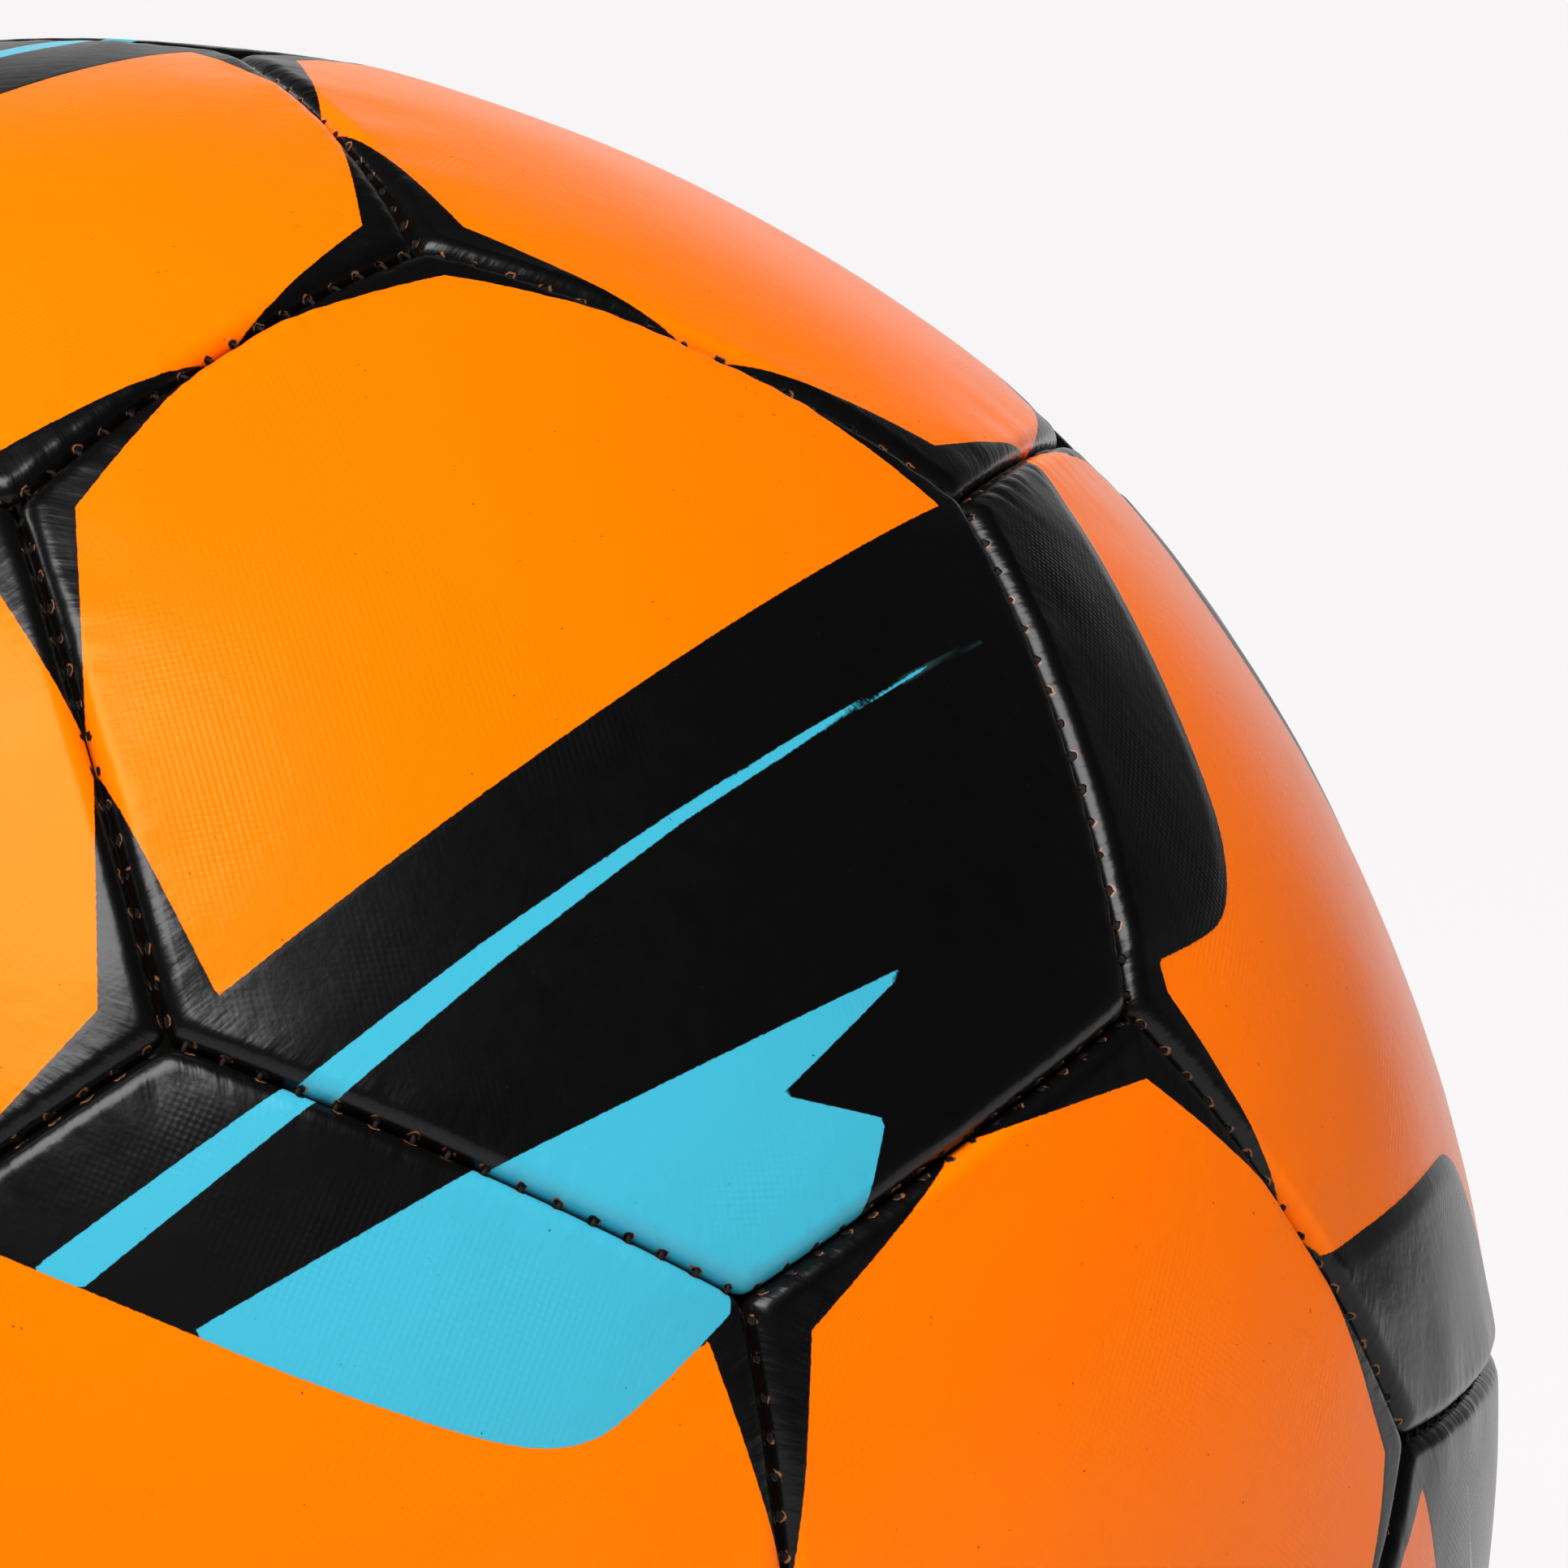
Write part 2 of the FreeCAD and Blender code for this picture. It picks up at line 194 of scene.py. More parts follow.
@dataclass
class Panel:
    """One panel's name and the way it faces, with what is printed on it."""

    name: str
    form: PanelForm
    axis: Vector
    corner: Vector
    motif_bearing: float | None = None
    ears: list[tuple[Ear, float, float]] = field(default_factory=list)

    @property
    def axes(self) -> np.ndarray:
        """The panel's own X, Y and Z as rows."""
        return np.array([self.corner, self.axis.cross(self.corner), self.axis])

    def bearing_of(self, other: "Panel") -> float:
        """The direction of another panel in this panel's plane, in radians."""
        beside = self.axes @ np.array(other.axis)
        return math.atan2(beside[1], beside[0])


# ---- the pattern of panels --------------------------------------------------------------------

# Each ring of panels round the valve axis, and the angle from the valve that it lies within.
RINGS = [("valve", 1), ("back", 60), ("rear_waist", 90), ("front_waist", 120), ("front", 179), ("nose", 181)]
# Two panels share a seam where the cosine between their axes is more than this.
NEIGHBOURS = 0.7
# The motif is printed on pairs of panels that face each other across a seam.
MOTIF_PAIRS = [
    ("front_hexagon_1", "front_waist_hexagon_2"),
    ("front_waist_hexagon_6", "front_hexagon_3"),
    ("front_hexagon_2", "front_waist_hexagon_4"),
    ("back_hexagon_3", "rear_waist_hexagon_5"),
    ("rear_waist_hexagon_3", "back_hexagon_2"),
    ("back_hexagon_1", "rear_waist_hexagon_1"),
]
# Motif panels whose ears lie off register, and how many millimetres nearer the seam they lie.
OFF_REGISTER = {"rear_waist_hexagon_1": 3.0}


class PanelPattern:
    """The thirty-two panels of the ball, named as the CAD nodes are."""

    def __init__(self, ball: BallSizes) -> None:
        """Lays the pattern out.

        Args:
            ball: the ball's sizes.
        """
        self.ball = ball
        pentagons = self.pentagon_directions()
        hexagons = self.hexagon_directions(pentagons)
        self.pentagon_axes = self.turned(pentagons, hexagons, pentagons)
        self.hexagon_axes = self.turned(hexagons, hexagons, pentagons)
        self.panels: dict[str, Panel] = {}
        self.add_panels(Polygon.HEXAGON, self.hexagon_axes, self.pentagon_axes)
        self.add_panels(Polygon.PENTAGON, self.pentagon_axes, self.hexagon_axes)
        for first, second in MOTIF_PAIRS:
            self.add_motif(self.panels[first], self.panels[second])
            self.add_motif(self.panels[second], self.panels[first])

    @staticmethod
    def pentagon_directions() -> list[Vector]:
        """The corners of an icosahedron."""
        found = []
        for a in (-1, 1):
            for b in (-GOLDEN, GOLDEN):
                found += [Vector((0, a, b)), Vector((a, b, 0)), Vector((b, 0, a))]
        return [v.normalized() for v in found]

    @staticmethod
    def hexagon_directions(pentagons: list[Vector]) -> list[Vector]:
        """The middles of an icosahedron's faces.

        Args:
            pentagons: the icosahedron's corners.

        Returns:
            Twenty unit directions.
        """
        near = math.cos(math.atan(2)) - 0.01
        found = []
        for i, p in enumerate(pentagons):
            for j in range(i + 1, len(pentagons)):
                for k in range(j + 1, len(pentagons)):
                    q, r = pentagons[j], pentagons[k]
                    if min(p.dot(q), q.dot(r), r.dot(p)) > near:
                        found.append((p + q + r).normalized())
        return found

    def turned(
        self, directions: list[Vector], hexagons: list[Vector], pentagons: list[Vector]
    ) -> list[Vector]:
        """Directions in the ball's own frame: one hexagon at +Y, the pattern rolled about it.

        Args:
            directions: the directions to turn.
            hexagons: the hexagon axes before the turn.
            pentagons: the pentagon axes before the turn.

        Returns:
            The turned directions, in the same order.
        """
        valve = max(hexagons, key=lambda v: v.dot(Vector((1, 1, 1))))
        beside = sorted(hexagons, key=lambda v: -v.dot(valve))[1]
        across = (beside - valve * beside.dot(valve)).normalized()
        upright = across.cross(valve)
        roll = Matrix.Rotation(-math.radians(self.ball.pattern_roll), 3, "Y")
        return [roll @ Vector((v.dot(across), v.dot(valve), v.dot(upright))) for v in directions]

    @staticmethod
    def ring_word(axis: Vector) -> str:
        """Where a panel lies between the valve, at +Y, and the nose, at -Y."""
        angle = math.degrees(math.acos(max(-1.0, min(1.0, axis.y))))
        return next(word for word, limit in RINGS if angle < limit)

    def add_panels(self, polygon: Polygon, axes: list[Vector], others: list[Vector]) -> None:
        """Names one kind of panel and turns each one's corners onto its seams.

        Args:
            polygon: the kind of panel.
            axes: that kind's directions.
            others: the other kind's directions.
        """
        form = PanelForm(polygon, self.ball)
        rings: dict[str, list[Vector]] = {}
        for axis in axes:
            rings.setdefault(self.ring_word(axis), []).append(axis)
        for word, ring in rings.items():
            ring.sort(key=lambda v: math.degrees(math.atan2(v.z, v.x)) % 360)
            for number, axis in enumerate(ring, start=1):
                suffix = f"_{number}" if len(ring) > 1 else ""
                beside = max(others, key=lambda v: round(v.dot(axis), 4) + 0.0001 * v.z)
                middle = (beside - axis * beside.dot(axis)).normalized()
                corner = Matrix.Rotation(form.half_turn, 3, axis) @ middle
                name = f"{word}_{polygon.word}{suffix}"
                self.panels[name] = Panel(name, form, axis, corner)

    def add_motif(self, panel: Panel, partner: Panel) -> None:
        """Prints the motif on one panel and its ears on the two panels beside it.

        Args:
            panel: the panel that carries the motif.
            partner: the panel that its plain half faces.
        """
        panel.motif_bearing = panel.bearing_of(partner) + math.pi
        for ear, turn in ((Ear.CYAN, -math.pi / 3), (Ear.PLAIN, math.pi / 3)):
            bearing = panel.motif_bearing + turn
            towards = Vector(np.array([math.cos(bearing), math.sin(bearing), 0.0]) @ panel.axes)
            near = [
                p
                for p in self.panels.values()
                if p is not panel and p.axis.dot(panel.axis) > NEIGHBOURS
            ]
            beside = max(near, key=lambda p: p.axis.dot(towards))
            beside.ears.append((ear, beside.bearing_of(panel), OFF_REGISTER.get(panel.name, 0.0)))

    def seams(self) -> list[tuple[Panel, Panel]]:
        """Every pair of panels that share a seam, a hexagon first."""
        named = list(self.panels.values())
        found = []
        for i, one in enumerate(named):
            for other in named[i + 1:]:
                both = {one.form.polygon, other.form.polygon}
                if one.axis.dot(other.axis) > NEIGHBOURS and both != {Polygon.PENTAGON}:
                    found.append((one, other))
        return found


# ---- the print ---------------------------------------------------------------------------------

Outline = list[tuple[float, float]]
# The depth, in millimetres, that stands for a print which is nowhere near.
FAR_OUTSIDE = -10.0


def softened(outline: Outline, rounds: int = 2) -> Outline:
    """Cuts an outline's corners so that they read as curves.

    Args:
        outline: a closed outline.
        rounds: how many times each corner is cut.

    Returns:
        The softer outline.
    """
    for _ in range(rounds):
        cut: Outline = []
        for (ax, ay), (bx, by) in zip(outline, outline[1:] + outline[:1]):
            cut.append((0.75 * ax + 0.25 * bx, 0.75 * ay + 0.25 * by))
            cut.append((0.25 * ax + 0.75 * bx, 0.25 * ay + 0.75 * by))
        outline = cut
    return outline


def inside_distance(x: np.ndarray, y: np.ndarray, outline: Outline) -> np.ndarray:
    """Distance to a closed outline, positive inside it.

    Args:
        x: first coordinates of the points.
        y: second coordinates of the points.
        outline: the outline's corners in order.

    Returns:
        One signed distance for each point.
    """
    nearest = np.full(x.shape, np.inf)
    inside = np.zeros(x.shape, bool)
    for (ax, ay), (bx, by) in zip(outline, outline[1:] + outline[:1]):
        ex, ey = bx - ax, by - ay
        share = np.clip(((x - ax) * ex + (y - ay) * ey) / (ex * ex + ey * ey), 0, 1)
        nearest = np.minimum(nearest, np.hypot(x - ax - share * ex, y - ay - share * ey))
        if ey:
            inside ^= ((ay > y) != (by > y)) & (x < ax + (y - ay) / ey * ex)
    return np.where(inside, nearest, -nearest)


@dataclass(frozen=True)
class Artwork:
    """The print on the panels, drawn in a panel's plane in millimetres.

    A ground colour fills a many-sided field. Black runs round it to the seams, so that three black
    blades meet at every corner of the ball. Half of each motif panel is black as well, crossed by a
    thin stripe and a notched blade in cyan that both run on over the seam.
    """

    # The field's corners: how far they reach at the panel's corners and at its sides.
    field_reach: dict[Polygon, tuple[float, float]] = field(
        default_factory=lambda: {Polygon.HEXAGON: (39.6, 38.72), Polygon.PENTAGON: (32.3, 30.74)}
    )
    # On the motif panel: (along the band, across it towards the black half).
    stripe: tuple[tuple[float, float], ...] = (
        (44.0, 8.1), (22.0, 7.9), (4.0, 8.25), (-12.0, 8.9), (-22.4, 9.4), (-24.0, 9.65), (-22.4, 9.72),
        (-12.0, 9.5), (4.0, 9.15), (22.0, 9.6), (44.0, 10.8),
    )
    blade: tuple[tuple[float, float], ...] = (
        (38.0, 19.7), (-4.6, 25.7), (11.1, 27.8), (5.1, 33.4), (14.2, 41.2), (40.0, 41.2),
    )
    faded_line: tuple[tuple[float, float], ...] = ((-20.0, 9.2), (-31.0, 9.9), (-31.0, 10.3), (-20.0, 9.8))
    # On the panels beside it: (towards the shared seam, along it).
    plain_ear: tuple[tuple[float, float], ...] = (
        (22.6, -40.0), (21.5, -15.5), (20.8, -1.5), (20.9, 4.2), (23.4, 10.6), (28.3, 14.2), (42.0, 21.0),
        (60.0, 0.0), (60.0, -40.0),
    )
    cyan_ear: tuple[tuple[float, float], ...] = (
        (19.6, 40.0), (19.8, 12.6), (20.0, 3.2), (21.2, -9.0), (23.4, -14.2), (27.4, -16.8), (42.0, -23.5),
        (60.0, 0.0), (60.0, 40.0),
    )
    ear_stripe: tuple[tuple[float, float], ...] = ((42.0, 9.3), (10.0, 24.9), (10.0, 29.0), (42.0, 11.5))
    ear_blade: tuple[tuple[float, float], ...] = ((44.0, -4.7), (12.0, 18.2), (-6.0, -30.0), (60.0, -60.0))

    def field_outline(self, form: PanelForm) -> Outline:
        """The many-sided field's corners.

        Args:
            form: the kind of panel.

        Returns:
            The outline, two corners to each side of the panel.
        """
        reaches = self.field_reach[form.polygon]
        turns = [k * form.half_turn for k in range(2 * form.sides)]
        return [
            (reaches[k % 2] * math.cos(turn), reaches[k % 2] * math.sin(turn))
            for k, turn in enumerate(turns)
        ]

    @staticmethod
    def turned(x: np.ndarray, y: np.ndarray, bearing: float) -> tuple[np.ndarray, np.ndarray]:
        """Coordinates along a bearing and a quarter turn on from it."""
        forward = x * math.cos(bearing) + y * math.sin(bearing)
        leftward = y * math.cos(bearing) - x * math.sin(bearing)
        return forward, leftward

    def lay(self, panel: Panel, x: np.ndarray, y: np.ndarray) -> tuple[np.ndarray, ...]:
        """The print's edges on one panel.

        Args:
            panel: the panel.
            x: first coordinates of points in its plane.
            y: second coordinates.

        Returns:
            For each point its depth inside the black, the cyan, the faded line and a plain ear, in
            millimetres.
        """
        black = -inside_distance(x, y, self.field_outline(panel.form))
        cyan, faded, crest = (np.full(x.shape, FAR_OUTSIDE) for _ in range(3))
        if panel.motif_bearing is not None:
            across, leftward = self.turned(x, y, panel.motif_bearing)
            along = -leftward
            black = np.maximum(black, across)
            cyan = np.maximum(cyan, inside_distance(along, across, list(self.stripe)))
            cyan = np.maximum(cyan, inside_distance(along, across, list(self.blade)))
            faded = inside_distance(along, across, list(self.faded_line))
        for ear, bearing, shift in panel.ears:
            forward, beside = self.turned(x, y, bearing)
            towards = forward - shift
            shape = self.cyan_ear if ear is Ear.CYAN else self.plain_ear
            cover = inside_distance(towards, beside, softened(list(shape)))
            black = np.maximum(black, cover)
            if ear is Ear.PLAIN:
                crest = np.maximum(crest, cover)
            else:
                inner = np.maximum(
                    inside_distance(towards, beside, list(self.ear_stripe)),
                    inside_distance(towards, beside, list(self.ear_blade)),
                )
                cyan = np.maximum(cyan, np.minimum(inner, cover))
        return black, cyan, faded, crest


# ---- mesh moves --------------------------------------------------------------------------------


def deselect() -> None:
    """Leaves nothing selected."""
    bpy.ops.object.select_all(action="DESELECT")


def only(thing: bpy.types.Object) -> None:
    """Selects one object and makes it the active one."""
    deselect()
    thing.select_set(True)
    bpy.context.view_layer.objects.active = thing


def edit(thing: bpy.types.Object) -> None:
    """Opens one object in edit mode."""
    only(thing)
    bpy.ops.object.mode_set(mode="EDIT")


def leave_edit() -> None:
    """Goes back to object mode."""
    bpy.ops.object.mode_set(mode="OBJECT")


def places(mesh: bpy.types.Mesh) -> np.ndarray:
    """A mesh's vertices, one row each."""
    flat = np.zeros(len(mesh.vertices) * 3)
    mesh.vertices.foreach_get("co", flat)
    return flat.reshape(-1, 3)


def put(mesh: bpy.types.Mesh, points: np.ndarray) -> None:
    """Moves a mesh's vertices.

    Args:
        mesh: the mesh.
        points: a place for each vertex, in metres.
    """
    mesh.vertices.foreach_set("co", points.astype(np.float32).ravel())
    mesh.update()


def own_copy(thing: bpy.types.Object, name: str) -> bpy.types.Object:
    """A copy of an object with its own mesh.

    Args:
        thing: the object.
        name: the copy's name.

    Returns:
        The copy, linked to the scene.
    """
    copy = thing.copy()
    copy.data = thing.data.copy()
    copy.name = name
    copy.data.name = name
    bpy.context.scene.collection.objects.link(copy)
    return copy


def smooth_noise(
    points: np.ndarray, wavelength: float, rng: np.random.Generator, waves: int = 14
) -> np.ndarray:
    """Soft bumps of about one wavelength, from a few crossing waves.

    Args:
        points: places in millimetres.
        wavelength: the usual distance between two bumps.
        rng: the random source.
        waves: how many waves cross.

    Returns:
        A value for each point, mostly between -1 and 1.
    """
    total = np.zeros(len(points))
    for _ in range(waves):
        way = rng.normal(size=3)
        way *= 2 * math.pi / (wavelength * rng.uniform(0.7, 1.5) * np.linalg.norm(way))
        total += np.sin(points @ way + rng.uniform(0, 2 * math.pi))
    return total / math.sqrt(waves)


# The attributes that carry the print, in the order that Artwork.lay gives them.
PRINTS = ("black_print", "cyan_print", "faded_print")


# ---- leather panels ----------------------------------------------------------------------------

# The height of a blank's back sheet, on a blank of radius 1.
BACK_LEVEL = -0.05
# The least length that a share is taken of.
TINY = 1e-6


@dataclass
class PanelBlank:
    """One kind of panel as it is cut: a closed double sheet, fine outside and coarse inside.

    The outer sheet's rings run from the panel's middle over its shoulder and down the edge that
    the stitches hold. The grid is modelled once, and each panel is shaped from a copy of it.
    """

    form: PanelForm
    rings: int = 80
    edge_rings: int = 4
    shoulder_rings: int = 13
    rim_rings: int = 7
    rim_width: float = 4.4
    edge_depth: float = 2.6
    lining_rings: int = 16
    corner_power: float = 90.0
    crown_rounds: int = 6
    is_outer: np.ndarray = field(init=False)
    ring: np.ndarray = field(init=False)
    side: np.ndarray = field(init=False)
    along: np.ndarray = field(init=False)
    loop_vertex: np.ndarray = field(init=False)
    loop_along: np.ndarray = field(init=False)

    def build(self) -> bpy.types.Object:
        """Models the blank: two grids, the lower one turned over, bridged along their rims."""
        outer = self.grid(self.rings, 0.0, "blank")
        inner = self.grid(self.lining_rings, BACK_LEVEL, "blank_back")
        edit(inner)
        bpy.ops.mesh.select_all(action="SELECT")
        bpy.ops.mesh.flip_normals()
        leave_edit()
        outer.select_set(True)
        bpy.context.view_layer.objects.active = outer
        bpy.ops.object.join()
        edit(outer)
        bpy.ops.mesh.select_mode(type="EDGE")
        bpy.ops.mesh.select_all(action="DESELECT")
        bpy.ops.mesh.select_non_manifold()
        bpy.ops.mesh.bridge_edge_loops()
        bpy.ops.mesh.select_all(action="SELECT")
        bpy.ops.mesh.quads_convert_to_tris(quad_method="BEAUTY", ngon_method="BEAUTY")
        bpy.ops.mesh.normals_make_consistent(inside=False)
        leave_edit()
        outer.data.shade_smooth()
        self.read_grid(outer.data)
        return outer

    def grid(self, rings: int, level: float, name: str) -> bpy.types.Object:
        """A flat polygon of radius 1, divided into rings of even triangles.

        Args:
            rings: how many rings.
            level: its height.
            name: its name.

        Returns:
            The grid.
        """
        deselect()
        bpy.ops.mesh.primitive_circle_add(
            vertices=self.form.sides, radius=1.0, fill_type="TRIFAN", location=(0, 0, 0)
        )
        sheet = bpy.context.object
        sheet.name = name
        edit(sheet)
        bpy.ops.mesh.select_all(action="SELECT")
        bpy.ops.mesh.subdivide(number_cuts=rings - 1)
        leave_edit()
        flat = places(sheet.data)
        # The primitive's first corner lies at +Y, and a panel's at +X.
        put(sheet.data, np.column_stack([flat[:, 1], -flat[:, 0], np.full(len(flat), level)]))
        return sheet

    def read_grid(self, mesh: bpy.types.Mesh) -> None:
        """Reads each vertex's ring, side and share of the side from the flat blank.

        Args:
            mesh: the blank's mesh, still flat.
        """
        flat = places(mesh)
        self.is_outer = flat[:, 2] > BACK_LEVEL / 2
        self.ring, self.side, self.along = self.read_points(flat[:, 0], flat[:, 1])
        triangles = np.zeros(len(mesh.loops), int)
        mesh.loops.foreach_get("vertex_index", triangles)
        self.loop_vertex = triangles
        starts = np.zeros(len(mesh.polygons), int)
        mesh.polygons.foreach_get("loop_start", starts)
        totals = np.zeros(len(mesh.polygons), int)
        mesh.polygons.foreach_get("loop_total", totals)
        face_of_loop = np.repeat(np.arange(len(starts)), totals)
        middle = np.zeros((len(starts), 2))
        for axis in (0, 1):
            np.add.at(middle[:, axis], face_of_loop, flat[triangles, axis])
        middle /= totals[:, None]
        side = self.read_points(middle[:, 0], middle[:, 1])[1][face_of_loop]
        bearing = self.form.bearings()[side]
        x, y = flat[triangles, 0], flat[triangles, 1]
        forward = x * np.cos(bearing) + y * np.sin(bearing)
        leftward = y * np.cos(bearing) - x * np.sin(bearing)
        width = np.maximum(forward * math.tan(self.form.half_turn), TINY)
        self.loop_along = np.clip(leftward / width, -1, 1)

    def read_points(self, x: np.ndarray, y: np.ndarray) -> tuple[np.ndarray, np.ndarray, np.ndarray]:
        """Where points of the flat blank lie.

        Args:
            x: first coordinates.
            y: second coordinates.

        Returns:
            The share of the way out to the rim, the side's number, and the share along that side.
        """
        bearings = self.form.bearings()
        forward = x[:, None] * np.cos(bearings) + y[:, None] * np.sin(bearings)
        side = forward.argmax(axis=1)
        out = forward.max(axis=1)
        bearing = bearings[side]
        leftward = y * np.cos(bearing) - x * np.sin(bearing)
        width = np.maximum(out * math.tan(self.form.half_turn), TINY)
        return out / math.cos(self.form.half_turn), side, np.clip(leftward / width, -1, 1)

    def profile(self, out: np.ndarray) -> tuple[np.ndarray, np.ndarray, np.ndarray]:
        """The panel's section, from its middle out and down into the seam.

        Args:
            out: the share of the way out to the rim of the blank.

        Returns:
            The inset from the side's wall, the drop below the crown, and the climb from the foot
            of the shoulder, in millimetres.
        """
        ball = self.form.ball
        edge_from = self.rings - self.edge_rings
        shoulder_from = edge_from - self.shoulder_rings
        rim_from = shoulder_from - self.rim_rings
        middle_inset = self.form.crown_top * math.sin(self.form.tilt)
        turns = np.linspace(0, math.pi / 2, self.shoulder_rings + 1)
        shoulder = shoulder_from + np.arange(self.shoulder_rings + 1)
        knots = np.concatenate([[0, rim_from], shoulder, [self.rings]])
        insets = np.concatenate(
            [[middle_inset, ball.shoulder + self.rim_width], ball.shoulder * (1 - np.sin(turns)), [0.0]]
        )
        drops = np.concatenate(
            [[0, 0], ball.shoulder * (1 - np.cos(turns)), [ball.shoulder + self.edge_depth]]
        )
        climbs = np.concatenate(
            [
                [middle_inset + ball.shoulder * (math.pi / 2 - 1)],
                [self.rim_width + ball.shoulder * math.pi / 2],
                ball.shoulder * (math.pi / 2 - turns),
                [-self.edge_depth],
            ]
        )
        inset, drop, climb = (np.interp(out * self.rings, knots, row) for row in (insets, drops, climbs))
        return inset, drop, climb

    def crown_points(self, inset: np.ndarray, side: np.ndarray, along: np.ndarray) -> np.ndarray:
        """Places on the crown, before the shoulder's drop.

        Args:
            inset: distance inside the side's wall.
            side: the side's number.
            along: the share along the side, from -1 to 1.

        Returns:
            One row of x, y and z for each point, in millimetres.
        """
        form = self.form
        ball = form.ball
        bearing = form.bearings()[side]
        slant = along * math.tan(form.half_turn)
        angle = bearing + np.arctan(slant)
        share = np.maximum(np.cos(angle[:, None] - form.bearings()), 0)
        power = self.corner_power
        rounding = np.cos(np.arctan(slant)) / (share**power).sum(axis=1) ** (1 / power)
        z = np.full(len(inset), form.crown_top)
        for _ in range(self.crown_rounds):
            forward = (z * math.sin(form.tilt) - inset - ball.seam_gap / 2) / math.cos(form.tilt)
            radius = np.maximum(forward, 0) * np.hypot(1, slant) * rounding
            z = np.sqrt(ball.crown_radius**2 - radius**2) - form.crown_drop
        return np.column_stack([radius * np.cos(angle), radius * np.sin(angle), z])


@dataclass
class LeatherPanel:
    """One printed panel of synthetic leather, puckered by its stitches."""

    panel: Panel
    blank: PanelBlank
    seed: int
    pucker_depth: float = 0.20
    pucker_width: float = 0.62
    # A furrow rises up the shoulder, stays full as far as its crest and then falls off.
    furrow_rise: float = 1.2
    furrow_crest: float = 2.0
    furrow_fall: float = 1.7
    lean: float = 0.05
    lean_power: float = 1.5
    corner_dip: float = 0.30
    corner_spread: float = 5.0
    swell: float = 0.10
    swell_rise: float = 6.0
    ripple: float = 0.07
    ripple_crest: float = 3.0
    ripple_fall: float = 5.0
    broad_wave: float = 30.0
    short_wave: float = 8.0
    ear_height: float = 0.20
    ear_slope: float = 2.0
    ear_toe: float = 0.2
    # The share of the way out over which the rings round the valve are spread, and its radius.
    hole_blend: float = 0.35
    hole_spread: float = 15.4
    rng: np.random.Generator = field(init=False)

    def __post_init__(self) -> None:
        """Starts the panel's own random source."""
        self.rng = np.random.default_rng(self.seed)

    def build(self, blank_mesh: bpy.types.Object, artwork: Artwork) -> bpy.types.Object:
        """Shapes a copy of the blank and lays the print on it.

        Args:
            blank_mesh: the flat blank of this kind of panel.
            artwork: the print.

        Returns:
            The finished panel.
        """
        piece = own_copy(blank_mesh, self.panel.name + "_leather")
        blank = self.blank
        skin = blank.form.ball.skin
        out, along = blank.ring, blank.along
        inset, drop, climb = blank.profile(out)
        local = blank.crown_points(inset, blank.side, along)
        if self.is_pierced:
            local = self.opened(local, out)
        reach = np.linalg.norm(local, axis=1)
        sink = drop + self.stitch_pucker(along, climb) + self.corner_sink(local)
        sink += self.swelling(local, climb)
        prints = artwork.lay(self.panel, *self.in_plane(local))
        sink -= self.ear_ridge(prints[3])
        sink = np.where(blank.is_outer, sink, drop + np.where(climb > 0, skin, 0.0))
        shaped = local * (1 - sink / reach)[:, None]
        inward = np.where(~blank.is_outer & (climb <= skin), skin, 0.0)
        flat_reach = np.maximum(np.hypot(shaped[:, 0], shaped[:, 1]), TINY)
        shaped[:, :2] *= (1 - inward / flat_reach)[:, None]
        put(piece.data, shaped @ self.panel.axes * MM)
        self.lay_print(piece.data, self.in_plane(local), climb, prints)
        if self.is_pierced:
            self.pierce(piece)
        return piece

    def in_plane(self, local: np.ndarray) -> tuple[np.ndarray, np.ndarray]:
        """Where points of the crown fall in the plane of the panel's corners."""
        share = self.blank.form.height / local[:, 2]
        return local[:, 0] * share, local[:, 1] * share

    def ear_ridge(self, depth: np.ndarray) -> np.ndarray:
        """How far a plain ear's thick ink stands up, in millimetres.

        Args:
            depth: for each point its depth inside the ear.

        Returns:
            The height, which rises softly from the ear's edge.
        """
        share = np.clip((depth + self.ear_toe) / self.ear_slope, 0, 1)
        return self.ear_height * share * share * (3 - 2 * share)

    @property
    def is_pierced(self) -> bool:
        """Whether the valve comes up through this panel."""
        return self.panel.name == "valve_hexagon"

    def stitch_pucker(self, along: np.ndarray, climb: np.ndarray) -> np.ndarray:
        """How far the stitches pull the leather in, in millimetres.

        Args:
            along: the share along the side.
            climb: the distance from the foot of the shoulder.

        Returns:
            The depth of the furrows that fan out from the stitches.
        """
        ball = self.blank.form.ball
        place = along * ball.seam_length / 2
        sides = self.blank.form.sides
        side = self.blank.side
        furrows = np.zeros(len(along))
        pull = self.rng.uniform(0.2, 1.0, sides) ** 2
        fade = np.clip(climb / self.furrow_rise, 0, 1)
        fade *= np.exp(-np.clip(climb - self.furrow_crest, 0, None) / self.furrow_fall)
        half = (ball.stitches_per_seam - 1) / 2
        for number in range(ball.stitches_per_seam):
            strength = self.rng.uniform(0.25, 1.0, sides)
            lean = self.rng.normal(0, self.lean, sides)
            middle = (number - half) * ball.stitch_pitch + lean[side] * climb**self.lean_power
            away = (place - middle) / self.pucker_width
            furrows += pull[side] * strength[side] * np.exp(-0.5 * away**2)
        return self.pucker_depth * furrows * fade

    def corner_sink(self, local: np.ndarray) -> np.ndarray:
        """How far the corners are drawn in where three panels are stitched together."""
        form = self.blank.form
        sink = np.zeros(len(local))
        for k in range(form.sides):
            turn = 2 * k * form.half_turn
            corner = form.corner_radius * np.array([math.cos(turn), math.sin(turn)])
            away = np.linalg.norm(local[:, :2] - corner, axis=1)
            sink += self.corner_dip * np.exp(-((away / self.corner_spread) ** 2))
        return sink

